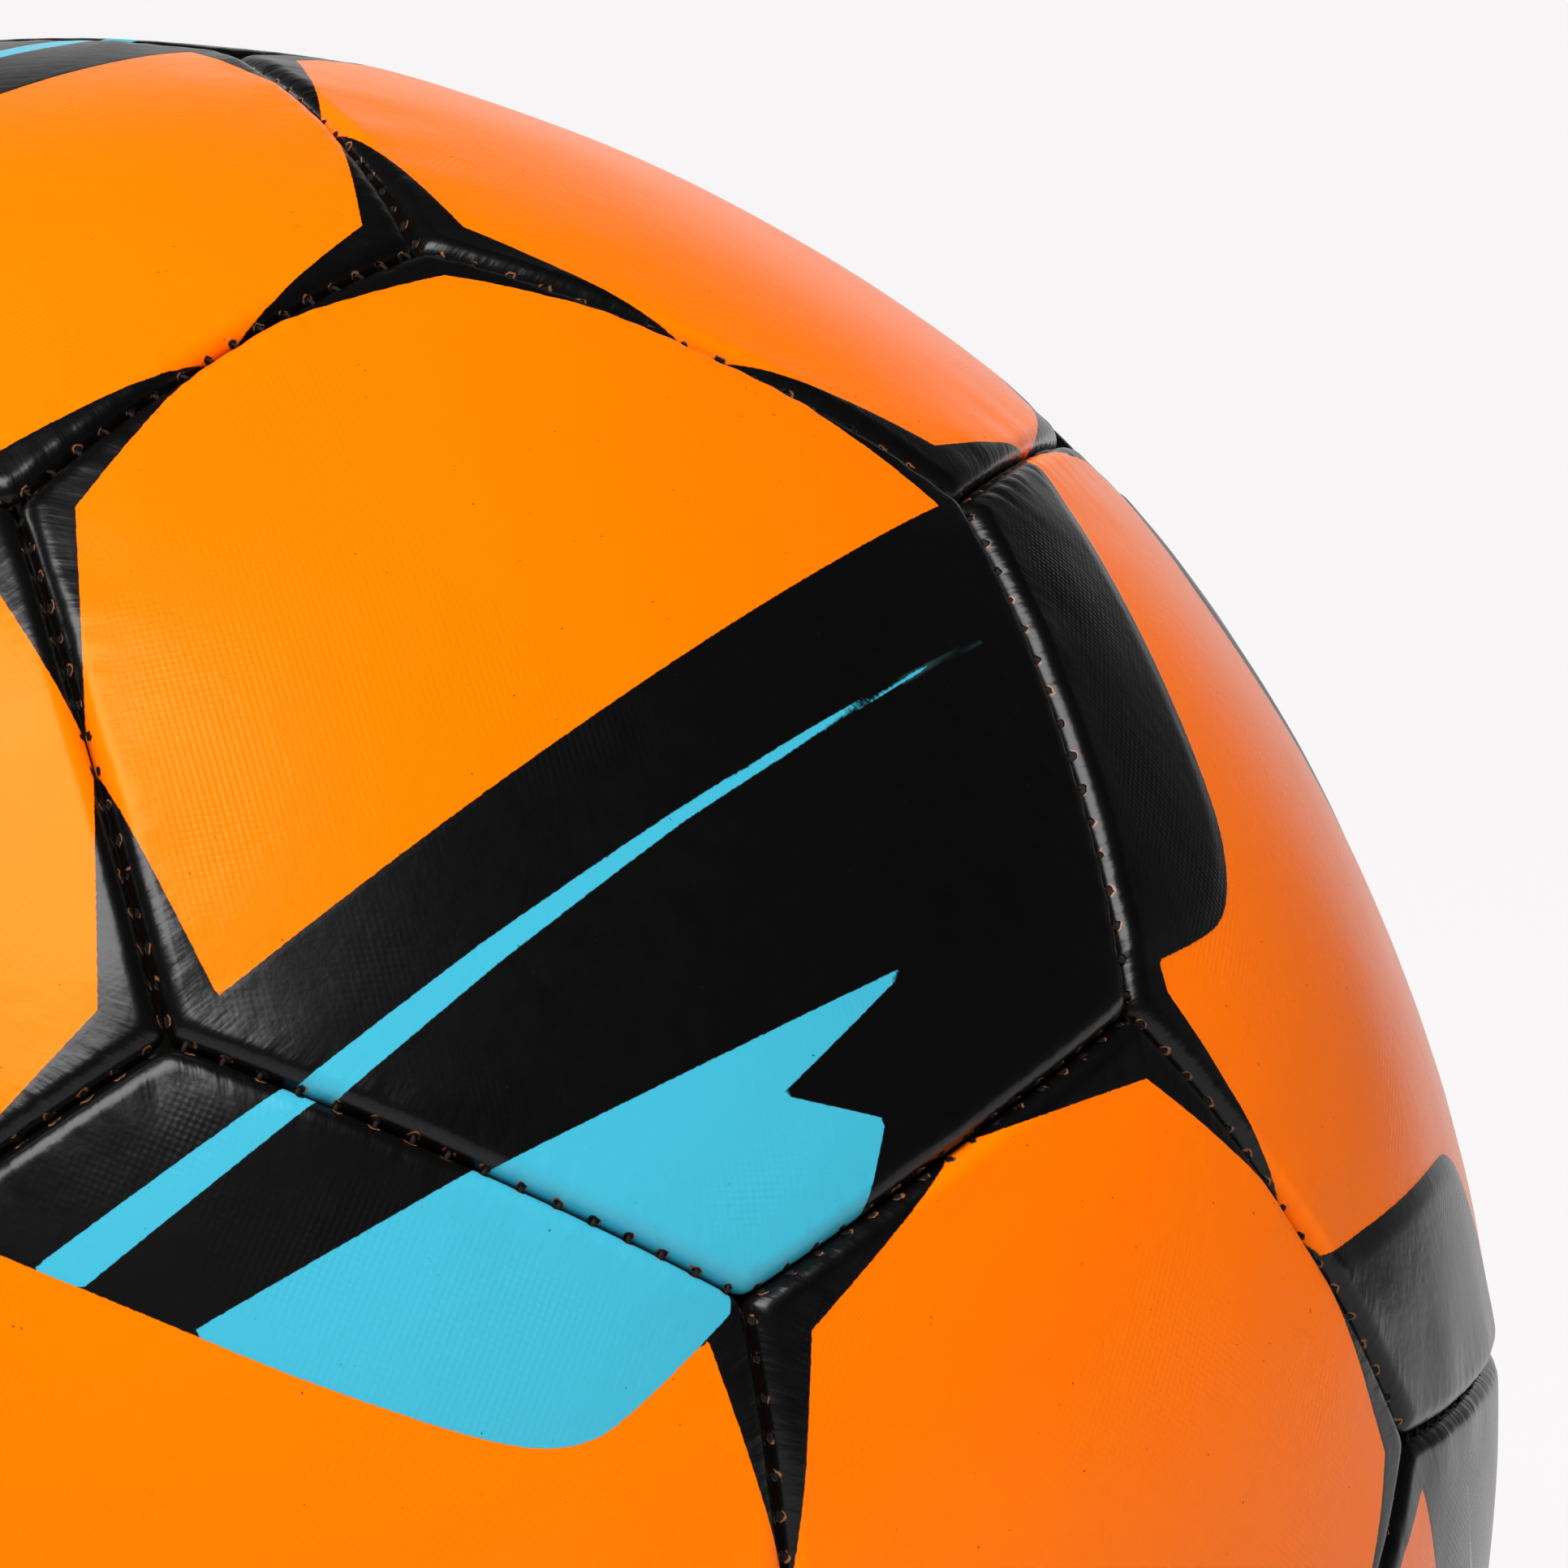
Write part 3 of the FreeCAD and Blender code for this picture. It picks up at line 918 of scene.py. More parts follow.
    def swelling(self, local: np.ndarray, climb: np.ndarray) -> np.ndarray:
        """Uneven foam under the leather, with shorter ripples near the seams."""
        near_seam = np.exp(-np.clip(climb - self.ripple_crest, 0, None) / self.ripple_fall)
        near_seam *= np.clip(climb / self.ripple_crest, 0, 1)
        broad = smooth_noise(local, self.broad_wave, self.rng)
        short = smooth_noise(local, self.short_wave, self.rng)
        swell = self.swell * (1 + broad) / 2 * np.clip(climb / self.swell_rise, 0, 1)
        return swell + self.ripple * (1 + short) * near_seam

    def opened(self, local: np.ndarray, out: np.ndarray) -> np.ndarray:
        """Spreads the rings round the middle so that one of them is the valve's round hole.

        Args:
            local: the panel's points on its crown.
            out: the share of the way out to the rim of the blank.

        Returns:
            The moved points.
        """
        form = self.blank.form
        hole = form.ball.valve_hole
        first = self.hole_share
        blend = np.clip((self.hole_blend - out) / (self.hole_blend - first), 0, 1)
        flat = np.hypot(local[:, 0], local[:, 1])
        angle = np.arctan2(local[:, 1], local[:, 0])
        share = (out - first) / (self.hole_blend - first)
        round_radius = np.where(out >= first, hole + share * (self.hole_spread - hole), hole)
        radius = flat * (1 - blend) + round_radius * blend
        z = np.sqrt(form.ball.crown_radius**2 - radius**2) - form.crown_drop
        return np.column_stack([radius * np.cos(angle), radius * np.sin(angle), z])

    @property
    def hole_share(self) -> float:
        """The ring, as a share of the way out, that becomes the hole's edge."""
        return 2 / self.blank.lining_rings

    def pierce(self, piece: bpy.types.Object) -> None:
        """Takes out the rings inside the hole and closes its wall.

        Args:
            piece: the shaped panel.
        """
        inside = self.blank.ring < self.hole_share - 1e-4
        edit(piece)
        bpy.ops.mesh.select_mode(type="VERT")
        bpy.ops.mesh.select_all(action="DESELECT")
        leave_edit()
        piece.data.vertices.foreach_set("select", inside)
        edit(piece)
        bpy.ops.mesh.delete(type="VERT")
        bpy.ops.mesh.select_mode(type="EDGE")
        bpy.ops.mesh.select_non_manifold()
        bpy.ops.mesh.bridge_edge_loops()
        leave_edit()

    def lay_print(
        self,
        mesh: bpy.types.Mesh,
        plane: tuple[np.ndarray, np.ndarray],
        climb: np.ndarray,
        prints: tuple[np.ndarray, ...],
    ) -> None:
        """Writes the print's edges, the weave's coordinates and the seam's coordinates.

        Args:
            mesh: the panel's mesh.
            plane: its points in the plane of the panel's corners.
            climb: their distance from the foot of the shoulder.
            prints: the print's edges, from Artwork.lay.
        """
        for name, values in zip(PRINTS, prints):
            layer = mesh.attributes.new(name, "FLOAT", "POINT")
            layer.data.foreach_set("value", values.astype(np.float32))
        loops = self.blank.loop_vertex
        weave = mesh.uv_layers.new(name="weave")
        weave.uv.foreach_set("vector", np.column_stack(plane)[loops].astype(np.float32).ravel())
        stitch = (self.blank.loop_along + 1) / 2 * self.blank.form.ball.stitches_per_seam
        seam = mesh.uv_layers.new(name="seam")
        seam.uv.foreach_set("vector", np.column_stack([stitch, climb[loops]]).astype(np.float32).ravel())


# ---- stitches ----------------------------------------------------------------------------------


@dataclass
class StitchRows:
    """The visible stitches of one kind of seam: short bars of thread across the valley."""

    ball: BallSizes
    name: str
    length: float = 0.90
    width: float = 0.38
    height: float = 0.30
    segments: int = 8
    rings: int = 6
    wander: float = 0.10
    rise: float = 0.05
    slant: float = 0.12
    sag: float = 0.35
    bluntness: float = 0.7

    def build(self, seams: list[tuple[Panel, Panel]], seed: int) -> bpy.types.Object:
        """Models one stitch, repeats it for every hole and lays each one across its seam.

        Args:
            seams: the pairs of panels whose seams these are.
            seed: the random source's seed.

        Returns:
            All the stitches of these seams as one piece.
        """
        rng = np.random.default_rng(seed)
        count = len(seams) * self.ball.stitches_per_seam
        deselect()
        bpy.ops.mesh.primitive_uv_sphere_add(segments=self.segments, ring_count=self.rings, radius=0.5)
        piece = bpy.context.object
        piece.name = self.name
        row = piece.modifiers.new("row", "ARRAY")
        row.count = count
        only(piece)
        bpy.ops.object.modifier_apply(modifier=row.name)
        points = places(piece.data).reshape(count, -1, 3)
        points[:, :, 0] -= points[:, :, 0].mean(axis=1)[:, None]
        placed = []
        for k, stitch in enumerate(points):
            row_number, number = divmod(k, self.ball.stitches_per_seam)
            placed.append(self.laid(stitch, seams[row_number], number, rng))
        put(piece.data, np.concatenate(placed) * MM)
        piece.data.shade_smooth()
        return piece

    def laid(
        self, stitch: np.ndarray, seam: tuple[Panel, Panel], number: int, rng: np.random.Generator
    ) -> np.ndarray:
        """One stitch in its place, in millimetres.

        Args:
            stitch: the points of a ball of thread 1 mm across.
            seam: the two panels.
            number: which stitch of the seam it is.
            rng: the random source.

        Returns:
            The moved points.
        """
        one, other = seam
        middle = (one.axis * one.form.height + other.axis * other.form.height).normalized()
        run = one.axis.cross(other.axis).normalized()
        across = run.cross(middle)
        half = (self.ball.stitches_per_seam - 1) / 2
        place = (number - half) * self.ball.stitch_pitch + rng.normal(0, self.wander)
        out = (middle * self.ball.seam_height + run * place).normalized()
        level = self.crown_level(one.form, place) - self.ball.stitch_depth + rng.normal(0, self.rise)
        slant = rng.normal(0, self.slant)
        z = stitch[:, 2]
        shape = np.sign(z) * np.abs(2 * z) ** self.bluntness / 2
        bow = -self.sag * self.height * (2 * shape) ** 2
        offsets = (
            np.outer(shape * self.length, np.array(across + run * slant))
            + np.outer(stitch[:, 0] * self.width, np.array(run))
            + np.outer(stitch[:, 1] * self.height + bow, np.array(out))
        )
        return np.array(out) * level + offsets

    def crown_level(self, form: PanelForm, place: float) -> float:
        """How far from the ball's centre a panel's crown would meet the seam.

        Args:
            form: the kind of panel.
            place: the distance from the seam's middle.

        Returns:
            The distance in millimetres.
        """
        way = math.hypot(self.ball.seam_height, place)
        z_share = form.height / way
        # The point lies on the crown sphere, whose centre is below the ball's.
        drop = form.crown_drop
        return -drop * z_share + math.sqrt((drop * z_share) ** 2 - drop**2 + self.ball.crown_radius**2)


# ---- finishes ----------------------------------------------------------------------------------

Colour = tuple[float, float, float, float]
WHITE: Colour = (1.0, 1.0, 1.0, 1.0)


class NodeBench:
    """A tree of nodes, and the few moves that every finish is mixed with."""

    def __init__(self, tree: bpy.types.NodeTree) -> None:
        """Takes up a tree.

        Args:
            tree: the nodes of a material or of the room.
        """
        self.tree = tree

    def add(self, kind: str, **settings: object) -> bpy.types.Node:
        """A new node with its settings."""
        node = self.tree.nodes.new(kind)
        for key, value in settings.items():
            setattr(node, key, value)
        return node

    def plug(self, socket: bpy.types.NodeSocket, value: object) -> None:
        """Links a socket, or sets its value."""
        if isinstance(value, bpy.types.NodeSocket):
            self.tree.links.new(value, socket)
        else:
            socket.default_value = value

    def math(self, operation: str, *values: object, clamp: bool = False) -> bpy.types.NodeSocket:
        """One sum of a Math node."""
        node = self.add("ShaderNodeMath", operation=operation, use_clamp=clamp)
        for socket, value in zip(node.inputs, values):
            self.plug(socket, value)
        return node.outputs[0]

    def centred(self, noise: object, width: float) -> bpy.types.NodeSocket:
        """Noise of 0 to 1 as a length that swings about 0."""
        return self.math("MULTIPLY", self.math("SUBTRACT", noise, 0.5), width)

    def wave(self, value: object, pitch: float) -> bpy.types.NodeSocket:
        """A sine wave along a coordinate."""
        return self.math("SINE", self.math("MULTIPLY", value, 2 * math.pi / pitch))

    def step(self, value: object, low: float, high: float) -> bpy.types.NodeSocket:
        """A soft step from 0 at low to 1 at high."""
        node = self.add("ShaderNodeMapRange", interpolation_type="SMOOTHSTEP", clamp=True)
        self.plug(node.inputs["Value"], value)
        node.inputs["From Min"].default_value = low
        node.inputs["From Max"].default_value = high
        return node.outputs["Result"]

    def between(self, share: object, low: float, high: float) -> bpy.types.NodeSocket:
        """A share of 0 to 1 as a value from low to high."""
        node = self.add("ShaderNodeMapRange", clamp=True)
        self.plug(node.inputs["Value"], share)
        node.inputs["To Min"].default_value = low
        node.inputs["To Max"].default_value = high
        return node.outputs["Result"]

    def blend(self, share: object, first: object, second: object) -> bpy.types.NodeSocket:
        """A mix of two colours."""
        node = self.add("ShaderNodeMix", data_type="RGBA")
        for socket, value in zip((node.inputs[0], node.inputs[6], node.inputs[7]), (share, first, second)):
            self.plug(socket, value)
        return node.outputs[2]

    def spots(self, place: object, scale: float, detail: float = 2.0) -> bpy.types.NodeSocket:
        """Noise at a scale."""
        node = self.add("ShaderNodeTexNoise")
        self.plug(node.inputs["Vector"], place)
        node.inputs["Scale"].default_value = scale
        node.inputs["Detail"].default_value = detail
        return node.outputs["Fac"]

    def object_place(self) -> bpy.types.NodeSocket:
        """Object coordinates, in metres."""
        return self.add("ShaderNodeTexCoord").outputs["Object"]

    def map(self, name: str) -> bpy.types.NodeSocket:
        """One of the piece's own UV maps."""
        return self.add("ShaderNodeUVMap", uv_map=name).outputs["UV"]

    def amount(self, name: str) -> bpy.types.NodeSocket:
        """One of the piece's own attributes."""
        return self.add("ShaderNodeAttribute", attribute_name=name).outputs["Fac"]

    def bump(self, height: object, distance: float, under: object = None) -> bpy.types.NodeSocket:
        """A bumped normal.

        Args:
            height: the relief, from 0 to 1.
            distance: how high 1 stands, in metres.
            under: a normal that is bumped already.

        Returns:
            The new normal.
        """
        node = self.add("ShaderNodeBump")
        node.inputs["Distance"].default_value = distance
        self.plug(node.inputs["Height"], height)
        if under is not None:
            self.plug(node.inputs["Normal"], under)
        return node.outputs["Normal"]


class Bench(NodeBench):
    """One material's nodes."""

    def __init__(self, name: str) -> None:
        """Starts a material.

        Args:
            name: the material's name.
        """
        self.material = bpy.data.materials.new(name)
        self.material.use_nodes = True
        super().__init__(self.material.node_tree)
        self.shader = self.tree.nodes["Principled BSDF"]

    def set(self, name: str, value: object) -> None:
        """Sets or links one of the shader's own sockets."""
        self.plug(self.shader.inputs[name], value)


@dataclass(frozen=True)
class PrintedLeather:
    """Glossy printed PVC leather with a woven backing that shows through, torn stitch holes, and painted
    shade in the seams' valleys.
    """

    ball: BallSizes
    orange: Colour = (0.98, 0.172, 0.0, 1.0)
    deep_orange: Colour = (0.93, 0.150, 0.0, 1.0)
    black: Colour = (0.0010, 0.0010, 0.0010, 1.0)
    faded_black: Colour = (0.0028, 0.0026, 0.0025, 1.0)
    cyan: Colour = (0.045, 0.375, 0.51, 1.0)
    deep_cyan: Colour = (0.038, 0.345, 0.475, 1.0)
    orange_shine: Colour = (1.0, 0.52, 0.16, 1.0)
    faded_cyan: Colour = (0.022, 0.050, 0.055, 1.0)
    torn: Colour = (0.26, 0.10, 0.038, 1.0)
    hole: Colour = (0.006, 0.005, 0.005, 1.0)
    # Dark dirt for the pores, and also the painted shade at the bottom of the seam's valley.
    grime_and_crease_shade: Colour = (0.010, 0.005, 0.003, 1.0)
    smoothest: float = 0.22
    roughest: float = 0.32
    # The noise values between which a patch of the weave comes up.
    weave_patches: tuple[float, float] = (0.42, 0.66)
    # The rest are in millimetres: half the width of the print's edges, and how far they wander.
    ink_edge: float = 0.05
    faded_edge: float = 0.10
    ragged_edge: float = 0.15
    # The cloth under the print, and the needle holes.
    weave_pitch: float = 0.50
    hole_radius: float = 0.32
    ragged_hole: float = 0.75
    # The heights of the relief.
    cloth_relief: float = 0.0062
    grain_relief: float = 0.035
    dent_relief: float = 0.05
    fold_relief: float = 0.09
    ink_relief: float = 0.02
    hole_relief: float = 0.25

    def make(self) -> bpy.types.Material:
        """Mixes the finish."""
        bench = Bench("printed_leather")
        place = bench.object_place()
        edge = bench.centred(bench.spots(place, 2300.0, 3.0), self.ragged_edge)
        black, cyan = (
            bench.step(bench.math("ADD", bench.amount(name), edge), -self.ink_edge, self.ink_edge)
            for name in ("black_print", "cyan_print")
        )
        faded = bench.step(bench.amount("faded_print"), -self.faded_edge, self.faded_edge)
        cloud = bench.spots(place, 22.0, 3.0)
        fine = bench.spots(place, 420.0, 4.0)
        ground = bench.blend(cloud, self.deep_orange, self.orange)
        ground = bench.blend(bench.math("MULTIPLY", fine, 0.35), ground, self.deep_orange)
        dark = bench.blend(fine, self.black, self.faded_black)
        bright = bench.blend(cloud, self.deep_cyan, self.cyan)
        colour = bench.blend(black, ground, dark)
        colour = bench.blend(bench.math("MULTIPLY", faded, fine), colour, self.faded_cyan)
        colour = bench.blend(cyan, colour, bright)
        pore = bench.step(bench.spots(place, 2600.0, 0.0), 0.86, 0.90)
        colour = bench.blend(bench.math("MULTIPLY", pore, 0.7), colour, self.grime_and_crease_shade)
        along, climb = self.seam_place(bench)
        hole, tear, painted_crease_shade = self.stitch_marks(bench, along, climb, place)
        # Painted shade: the colour darkens towards the bottom of the seam's valley, where shade falls.
        colour = bench.blend(bench.math("MULTIPLY", painted_crease_shade, 0.55), colour, self.grime_and_crease_shade)
        colour = bench.blend(tear, colour, self.torn)
        colour = bench.blend(hole, colour, self.hole)
        bench.set("Base Color", colour)
        rough = bench.between(bench.spots(place, 60.0, 4.0), self.smoothest, self.roughest)
        rough = bench.math("ADD", rough, bench.math("MULTIPLY", hole, 0.5), clamp=True)
        rough = bench.math("SUBTRACT", rough, bench.math("MULTIPLY", faded, 0.18), clamp=True)
        bench.set("Roughness", rough)
        bench.set("IOR", 1.40)
        bench.set("Specular IOR Level", 0.33)
        printed = bench.math("MAXIMUM", black, cyan)
        bench.set("Specular Tint", bench.blend(printed, self.orange_shine, WHITE))
        bench.set("Normal", self.relief(bench, place, along, climb, hole))
        return bench.material

    def seam_place(self, bench: Bench) -> tuple[bpy.types.NodeSocket, bpy.types.NodeSocket]:
        """The stitch number along the seam, and the climb from its valley in millimetres."""
        split = bench.add("ShaderNodeSeparateXYZ")
        bench.plug(split.inputs[0], bench.map("seam"))
        return split.outputs["X"], split.outputs["Y"]

    def stitch_marks(
        self,
        bench: Bench,
        along: bpy.types.NodeSocket,
        climb: bpy.types.NodeSocket,
        place: bpy.types.NodeSocket,
    ) -> tuple[bpy.types.NodeSocket, bpy.types.NodeSocket, bpy.types.NodeSocket]:
        """Where the needle holes, their torn rims and the painted shade in the seam's valley are.

        Args:
            bench: the material.
            along: the stitch number.
            climb: the climb from the valley.
            place: object coordinates.

        Returns:
            The three masks.
        """
        apart = bench.math("SUBTRACT", bench.math("FRACT", along), 0.5)
        apart = bench.math("MULTIPLY", apart, self.ball.stitch_pitch)
        above = bench.math("SUBTRACT", climb, self.ball.stitch_climb)
        squares = [bench.math("MULTIPLY", value, value) for value in (apart, above)]
        away = bench.math("SQRT", bench.math("ADD", *squares))
        away = bench.math("ADD", away, bench.centred(bench.spots(place, 1500.0, 2.0), self.ragged_hole))
        hole = bench.step(away, self.hole_radius + 0.06, self.hole_radius - 0.06)
        rim = bench.step(away, self.hole_radius + 0.26, self.hole_radius + 0.10)
        upper = bench.step(above, -0.15, 0.15)
        patchy = bench.step(bench.spots(place, 900.0, 1.0), 0.46, 0.56)
        tear = bench.math("MULTIPLY", bench.math("MULTIPLY", rim, upper), patchy)
        # Painted shade, strongest at the bottom of the seam's valley.
        painted_crease_shade = bench.step(climb, 1.1, 0.2)
        return hole, tear, painted_crease_shade

    def relief(
        self,
        bench: Bench,
        place: bpy.types.NodeSocket,
        along: bpy.types.NodeSocket,
        climb: bpy.types.NodeSocket,
        hole: bpy.types.NodeSocket,
    ) -> bpy.types.NodeSocket:
        """Weave, grain, wrinkles at the seams and needle holes.

        Args:
            bench: the material.
            place: object coordinates.
            along: the stitch number.
            climb: the climb from the valley.
            hole: the needle holes' mask.

        Returns:
            The bumped normal.
        """
        split = bench.add("ShaderNodeSeparateXYZ")
        bench.plug(split.inputs[0], bench.map("weave"))
        warp, weft = (bench.wave(split.outputs[axis], self.weave_pitch) for axis in "XY")
        cloth = bench.math("ADD", warp, weft)
        patches = bench.step(bench.spots(place, 38.0, 2.0), *self.weave_patches)
        cloth = bench.math("MULTIPLY", cloth, bench.math("MULTIPLY", patches, bench.step(climb, 2.0, 7.0)))
        normal = bench.bump(cloth, self.cloth_relief * MM)
        normal = bench.bump(bench.spots(place, 700.0, 5.0), self.grain_relief * MM, normal)
        normal = bench.bump(bench.spots(place, 95.0, 2.0), self.dent_relief * MM, normal)
        wrinkled = bench.add("ShaderNodeCombineXYZ")
        bench.plug(wrinkled.inputs[0], bench.math("MULTIPLY", along, self.ball.stitch_pitch))
        bench.plug(wrinkled.inputs[1], bench.math("MULTIPLY", climb, 0.22))
        folds = bench.spots(wrinkled.outputs[0], 0.9, 2.0)
        near = bench.step(climb, 6.0, 1.0)
        normal = bench.bump(bench.math("MULTIPLY", folds, near), self.fold_relief * MM, normal)
        ink = bench.step(bench.amount("black_print"), -0.3, 0.5)
        normal = bench.bump(ink, self.ink_relief * MM, normal)
        return bench.bump(bench.math("SUBTRACT", 1.0, hole), self.hole_relief * MM, normal)


@dataclass(frozen=True)
class PlainFinish:
    """A one-colour material with grain: rubber, foam, cloth or thread."""

    name: str
    colour: Colour
    second: Colour
    roughness: float
    grain: float
    grain_height: float
    sheen: float = 0.0
    weave_pitch: float = 0.0
    shine: float = 0.5

    def make(self) -> bpy.types.Material:
        """Mixes the finish."""
        bench = Bench(self.name)
        place = bench.object_place()
        grain = bench.spots(place, self.grain, 4.0)
        cloud = bench.spots(place, self.grain / 12, 2.0)
        bench.set("Base Color", bench.blend(bench.math("MULTIPLY", grain, cloud), self.colour, self.second))
        bench.set("Roughness", bench.between(cloud, self.roughness - 0.06, self.roughness + 0.08))
        bench.set("Sheen Weight", self.sheen)
        bench.set("Specular IOR Level", self.shine)
        normal = bench.bump(grain, self.grain_height)
        if self.weave_pitch:
            split = bench.add("ShaderNodeSeparateXYZ")
            bench.plug(split.inputs[0], place)
            warp, weft = (bench.wave(split.outputs[axis], self.weave_pitch) for axis in "XZ")
            normal = bench.bump(bench.math("MULTIPLY", warp, weft), self.grain_height, normal)
        bench.set("Normal", normal)
        return bench.material


PAPER_WHITE: Colour = (1.0, 0.982, 0.99, 1.0)


def paper(shade: float) -> Colour:
    """The paper's white at a shade of 0 to 1."""
    return (PAPER_WHITE[0] * shade, PAPER_WHITE[1] * shade, PAPER_WHITE[2] * shade, 1.0)


@dataclass(frozen=True)
class PaperSweep:
    """White studio paper: lit by the softbox near the ball, and glowing evenly farther off."""

    near: float = 0.2
    far: float = 0.75
    shade: float = 0.68
    far_shade: float = 0.02
    glow: float = 0.93
    near_glow: float = 0.15

    def make(self) -> bpy.types.Material:
        """Mixes the finish."""
        bench = Bench("studio_paper")
        distance = bench.add("ShaderNodeVectorMath", operation="LENGTH")
        bench.plug(distance.inputs[0], bench.object_place())
        away = bench.step(distance.outputs["Value"], self.near, self.far)
        bench.set("Base Color", bench.blend(away, paper(self.shade), paper(self.far_shade)))
        bench.set("Emission Color", PAPER_WHITE)
        bench.set("Emission Strength", bench.between(away, self.glow * self.near_glow, self.glow))
        bench.set("Specular IOR Level", 0.0)
        bench.set("Roughness", 0.9)
        return bench.material


THREAD = PlainFinish(
    name="seam_thread",
    colour=(0.003, 0.0028, 0.0026, 1),
    second=(0.040, 0.022, 0.013, 1),
    roughness=0.7,
    grain=2600.0,
    grain_height=0.00008,
    shine=0.12,
)
FOAM = PlainFinish(
    name="white_foam",
    colour=(0.75, 0.73, 0.68, 1),
    second=(0.60, 0.57, 0.50, 1),
    roughness=0.85,
    grain=1500.0,
    grain_height=0.0002,
)
LINING = PlainFinish(
    name="polycotton_lining",
    colour=(0.62, 0.60, 0.55, 1),
    second=(0.45, 0.43, 0.38, 1),
    roughness=0.9,
    grain=900.0,
    grain_height=0.00012,
    sheen=0.3,
    weave_pitch=0.0007,
)
BLADDER = PlainFinish(
    name="bladder_rubber",
    colour=(0.018, 0.017, 0.016, 1),
    second=(0.05, 0.048, 0.045, 1),
    roughness=0.6,
    grain=700.0,
    grain_height=0.00006,
)
VALVE = PlainFinish(
    name="valve_rubber",
    colour=(0.012, 0.012, 0.012, 1),
    second=(0.045, 0.042, 0.04, 1),
    roughness=0.55,
    grain=900.0,
    grain_height=0.00008,
)
FLOOR = PaperSweep()


def dress(piece: bpy.types.Object, material: bpy.types.Material) -> None:
    """Gives a piece one material.

    Args:
        piece: the piece.
        material: its finish.
    """
    if piece.material_slots:
        for slot in piece.material_slots:
            slot.material = material
    else:
        piece.data.materials.append(material)


# ---- the ball ----------------------------------------------------------------------------------


@dataclass
class Cover:
    """The thirty-two leather panels."""

    pattern: PanelPattern
    artwork: Artwork
    first_seed: int = 500

    def build(self) -> None:
        """Makes, dresses and declares every panel."""
        leather = PrintedLeather(self.pattern.ball).make()
        for polygon in Polygon:
            blank = PanelBlank(PanelForm(polygon, self.pattern.ball))
            blank_mesh = blank.build()
            for number, panel in enumerate(self.pattern.panels.values()):
                if panel.form.polygon is not polygon:
                    continue
                piece = LeatherPanel(panel, blank, self.first_seed + number).build(blank_mesh, self.artwork)
                dress(piece, leather)
                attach(piece, "root")
                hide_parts(panel.name)
                LOG.info("%s: %d faces", piece.name, len(piece.data.polygons))
            bpy.data.objects.remove(blank_mesh)


@dataclass
class Stitching:
    """Both kinds of seam's stitches."""

    pattern: PanelPattern
    seed: int = 90

    def build(self) -> None:
        thread = THREAD.make()
        seams = self.pattern.seams()
        for number, polygon in enumerate(Polygon):
            chosen = [pair for pair in seams if pair[1].form.polygon is polygon]
            name = f"{polygon.word}_seam_stitches"
            piece = StitchRows(self.pattern.ball, name).build(chosen, self.seed + number)
            dress(piece, thread)
            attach(piece, "root")
            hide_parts(f"{polygon.word}_seam_threads")
            LOG.info("%s: %d seams, %d faces", piece.name, len(chosen), len(piece.data.polygons))


@dataclass
class InnerLayers:
    """What the CAD model gives as it is: foam, cloth, bladder and valve."""

    nodes: dict[str, bpy.types.Object]

    def build(self) -> None:
        foam, lining, bladder, valve = (f.make() for f in (FOAM, LINING, BLADDER, VALVE))
        finishes = {
            "hexagon_foams": foam,
            "pentagon_foams": foam,
            "hexagon_linings": lining,
            "pentagon_linings": lining,
            "valve_patch": lining,
            "bladder": bladder,
            "valve_housing": valve,
            "valve_plug": valve,
        }
        for name, material in finishes.items():
            dress(self.nodes[name], material)
            LOG.info("%s: dressed", name)


# ---- the studio --------------------------------------------------------------------------------


@dataclass(frozen=True)
class SoftBox:
    """A rectangular studio light that faces the ball."""

    name: str
    azimuth: float
    elevation: float
    distance: float
    width: float
    height: float
    watts: float
    colour: tuple[float, float, float] = (1.0, 1.0, 1.0)

    def place(self) -> None:
        """Hangs the light: azimuth 0 is in front of the ball, at -Y, and 90 is at its right."""
        turn, climb = math.radians(self.azimuth), math.radians(self.elevation)
        way = Vector((math.sin(turn) * math.cos(climb), -math.cos(turn) * math.cos(climb), math.sin(climb)))
        light = bpy.data.lights.new(self.name, "AREA")
        light.shape = "RECTANGLE"
        light.size = self.width
        light.size_y = self.height
        light.energy = self.watts
        light.color = self.colour
        lamp = bpy.data.objects.new(self.name, light)
        bpy.context.scene.collection.objects.link(lamp)
        lamp.location = way * self.distance
        lamp.rotation_euler = (-way).to_track_quat("-Z", "Y").to_euler()
        lamp.visible_camera = False


SOFTBOXES = [
    SoftBox("key_softbox", azimuth=-24.0, elevation=56.5, distance=2.2, width=1.6, height=1.3, watts=86.0),
    SoftBox("rear_softbox", azimuth=-122.0, elevation=20.0, distance=2.4, width=1.8, height=1.2, watts=55.0),
]


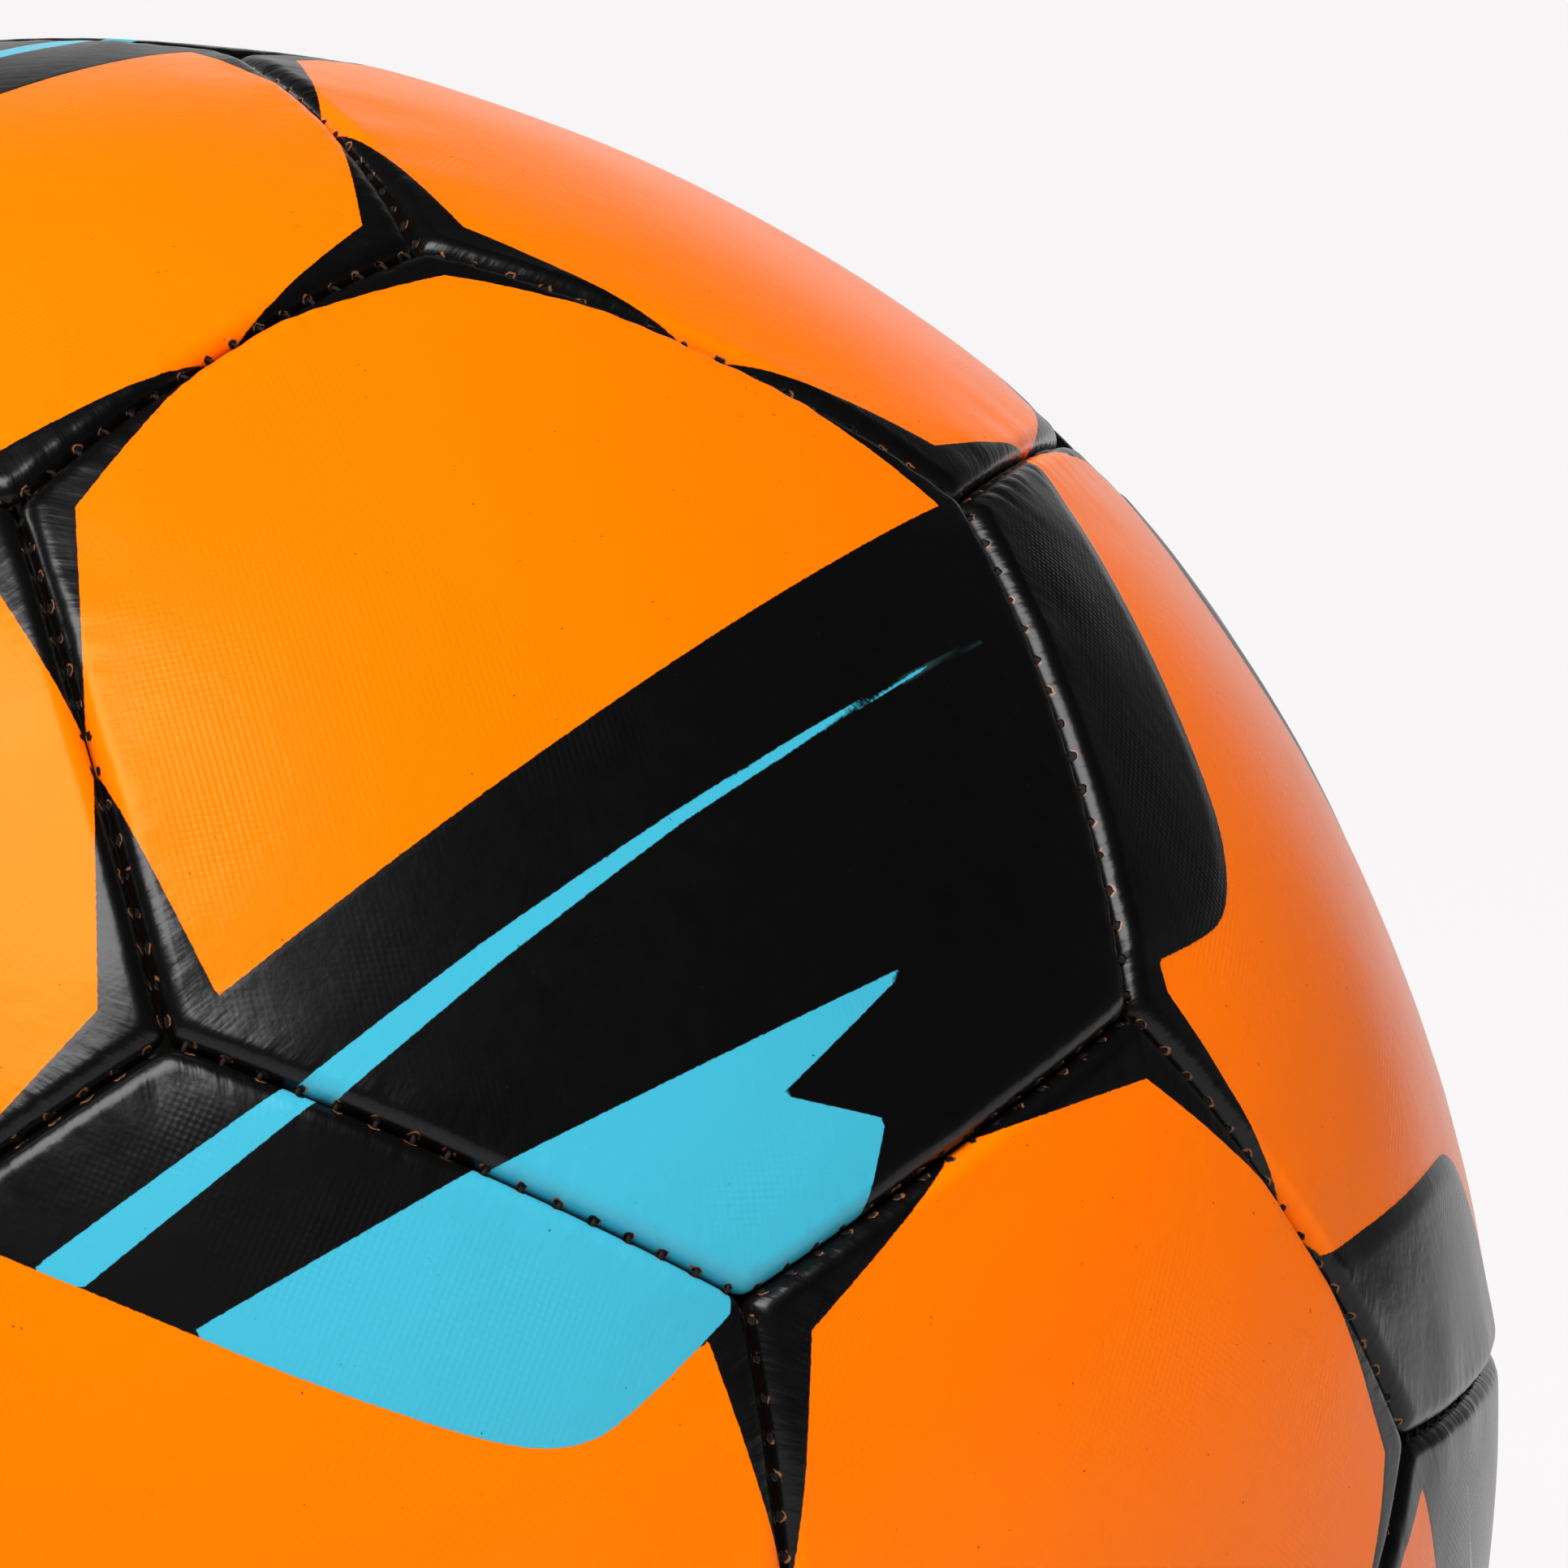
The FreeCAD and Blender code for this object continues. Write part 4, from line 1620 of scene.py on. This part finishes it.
@dataclass
class Studio:
    """Floor, lights, room brightness and camera."""

    floor_width: float = 60.0
    # The cloth's radius as a share of the floor's width.
    cloth_share: float = 0.48
    camera_place: Vector = field(default_factory=lambda: Vector((-0.08457, -0.83549, 0.12828)))
    camera_yaw: float = 9.505
    camera_pitch: float = -5.184
    lens: float = 251.37
    sensor: float = 36.0
    ceiling_glow: float = 0.02
    wall_glow: float = 0.09
    backdrop_glow: float = 0.80
    # Where the room's brightness changes, as parts of a unit direction, from dark to bright.
    backdrop_behind: tuple[float, float] = (0.67, 0.93)
    backdrop_below: tuple[float, float] = (0.62, 0.22)
    wall_below: tuple[float, float] = (0.55, 0.20)

    def build(self, lowest: float) -> None:
        """Sets the studio up round the ball.

        Args:
            lowest: the height of the surface that the ball rests on.
        """
        self.lay_floor(lowest)
        self.hang_backcloth(lowest)
        for box in SOFTBOXES:
            box.place()
        self.light_room()
        self.place_camera()
        bpy.context.scene.view_settings.view_transform = "Standard"

    def lay_floor(self, lowest: float) -> None:
        """Lays a wide plain floor under the ball."""
        deselect()
        bpy.ops.mesh.primitive_plane_add(size=self.floor_width, location=(0, 0, lowest))
        floor = bpy.context.object
        floor.name = "floor"
        dress(floor, FLOOR.make())
        floor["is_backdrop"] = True

    def hang_backcloth(self, lowest: float) -> None:
        """Hangs a pale cloth round the far edge of the floor. Only the camera sees it."""
        deselect()
        bpy.ops.mesh.primitive_cylinder_add(
            vertices=96,
            radius=self.floor_width * self.cloth_share,
            depth=self.floor_width,
            end_fill_type="NOTHING",
            location=(0, 0, lowest),
        )
        cloth = bpy.context.object
        cloth.name = "backcloth"
        cloth.visible_glossy = False
        cloth.visible_diffuse = False
        cloth.visible_shadow = False
        dress(cloth, FLOOR.make())
        cloth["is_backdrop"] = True

    def light_room(self) -> None:
        """A dim room that is pale low down and bright on the backdrop behind the ball."""
        world = bpy.data.worlds.new("studio_room")
        bpy.context.scene.world = world
        world.use_nodes = True
        bench = NodeBench(world.node_tree)
        split = bench.add("ShaderNodeSeparateXYZ")
        bench.plug(split.inputs[0], bench.add("ShaderNodeTexCoord").outputs["Generated"])
        behind = bench.step(split.outputs["Y"], *self.backdrop_behind)
        below = bench.step(split.outputs["Z"], *self.backdrop_below)
        low = bench.step(split.outputs["Z"], *self.wall_below)
        backdrop = bench.between(bench.math("MULTIPLY", behind, below), 0.0, self.backdrop_glow)
        wall = bench.between(low, self.ceiling_glow, self.wall_glow)
        background = world.node_tree.nodes["Background"]
        bench.plug(background.inputs["Strength"], bench.math("MAXIMUM", backdrop, wall))
        background.inputs["Color"].default_value = PAPER_WHITE

    def place_camera(self) -> None:
        """Stands the camera low in front of the ball, close to its upper right."""
        yaw, pitch = math.radians(self.camera_yaw), math.radians(self.camera_pitch)
        look = Vector((math.sin(yaw) * math.cos(pitch), math.cos(yaw) * math.cos(pitch), math.sin(pitch)))
        data = bpy.data.cameras.new("camera")
        data.lens = self.lens
        data.sensor_width = self.sensor
        camera = bpy.data.objects.new("camera", data)
        bpy.context.scene.collection.objects.link(camera)
        camera.location = self.camera_place
        camera.rotation_euler = look.to_track_quat("-Z", "Y").to_euler()
        bpy.context.scene.camera = camera


def main() -> None:
    """Builds the ball round its CAD frame and lights it."""
    logging.basicConfig(level=logging.INFO, format="%(message)s")
    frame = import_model()
    cad_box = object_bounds()
    ball = BallSizes()
    pattern = PanelPattern(ball)
    Studio().build(cad_box[0].z)
    Cover(pattern, Artwork()).build()
    Stitching(pattern).build()
    InnerLayers(frame["nodes"]).build()


if __name__ == "__main__":
    main()
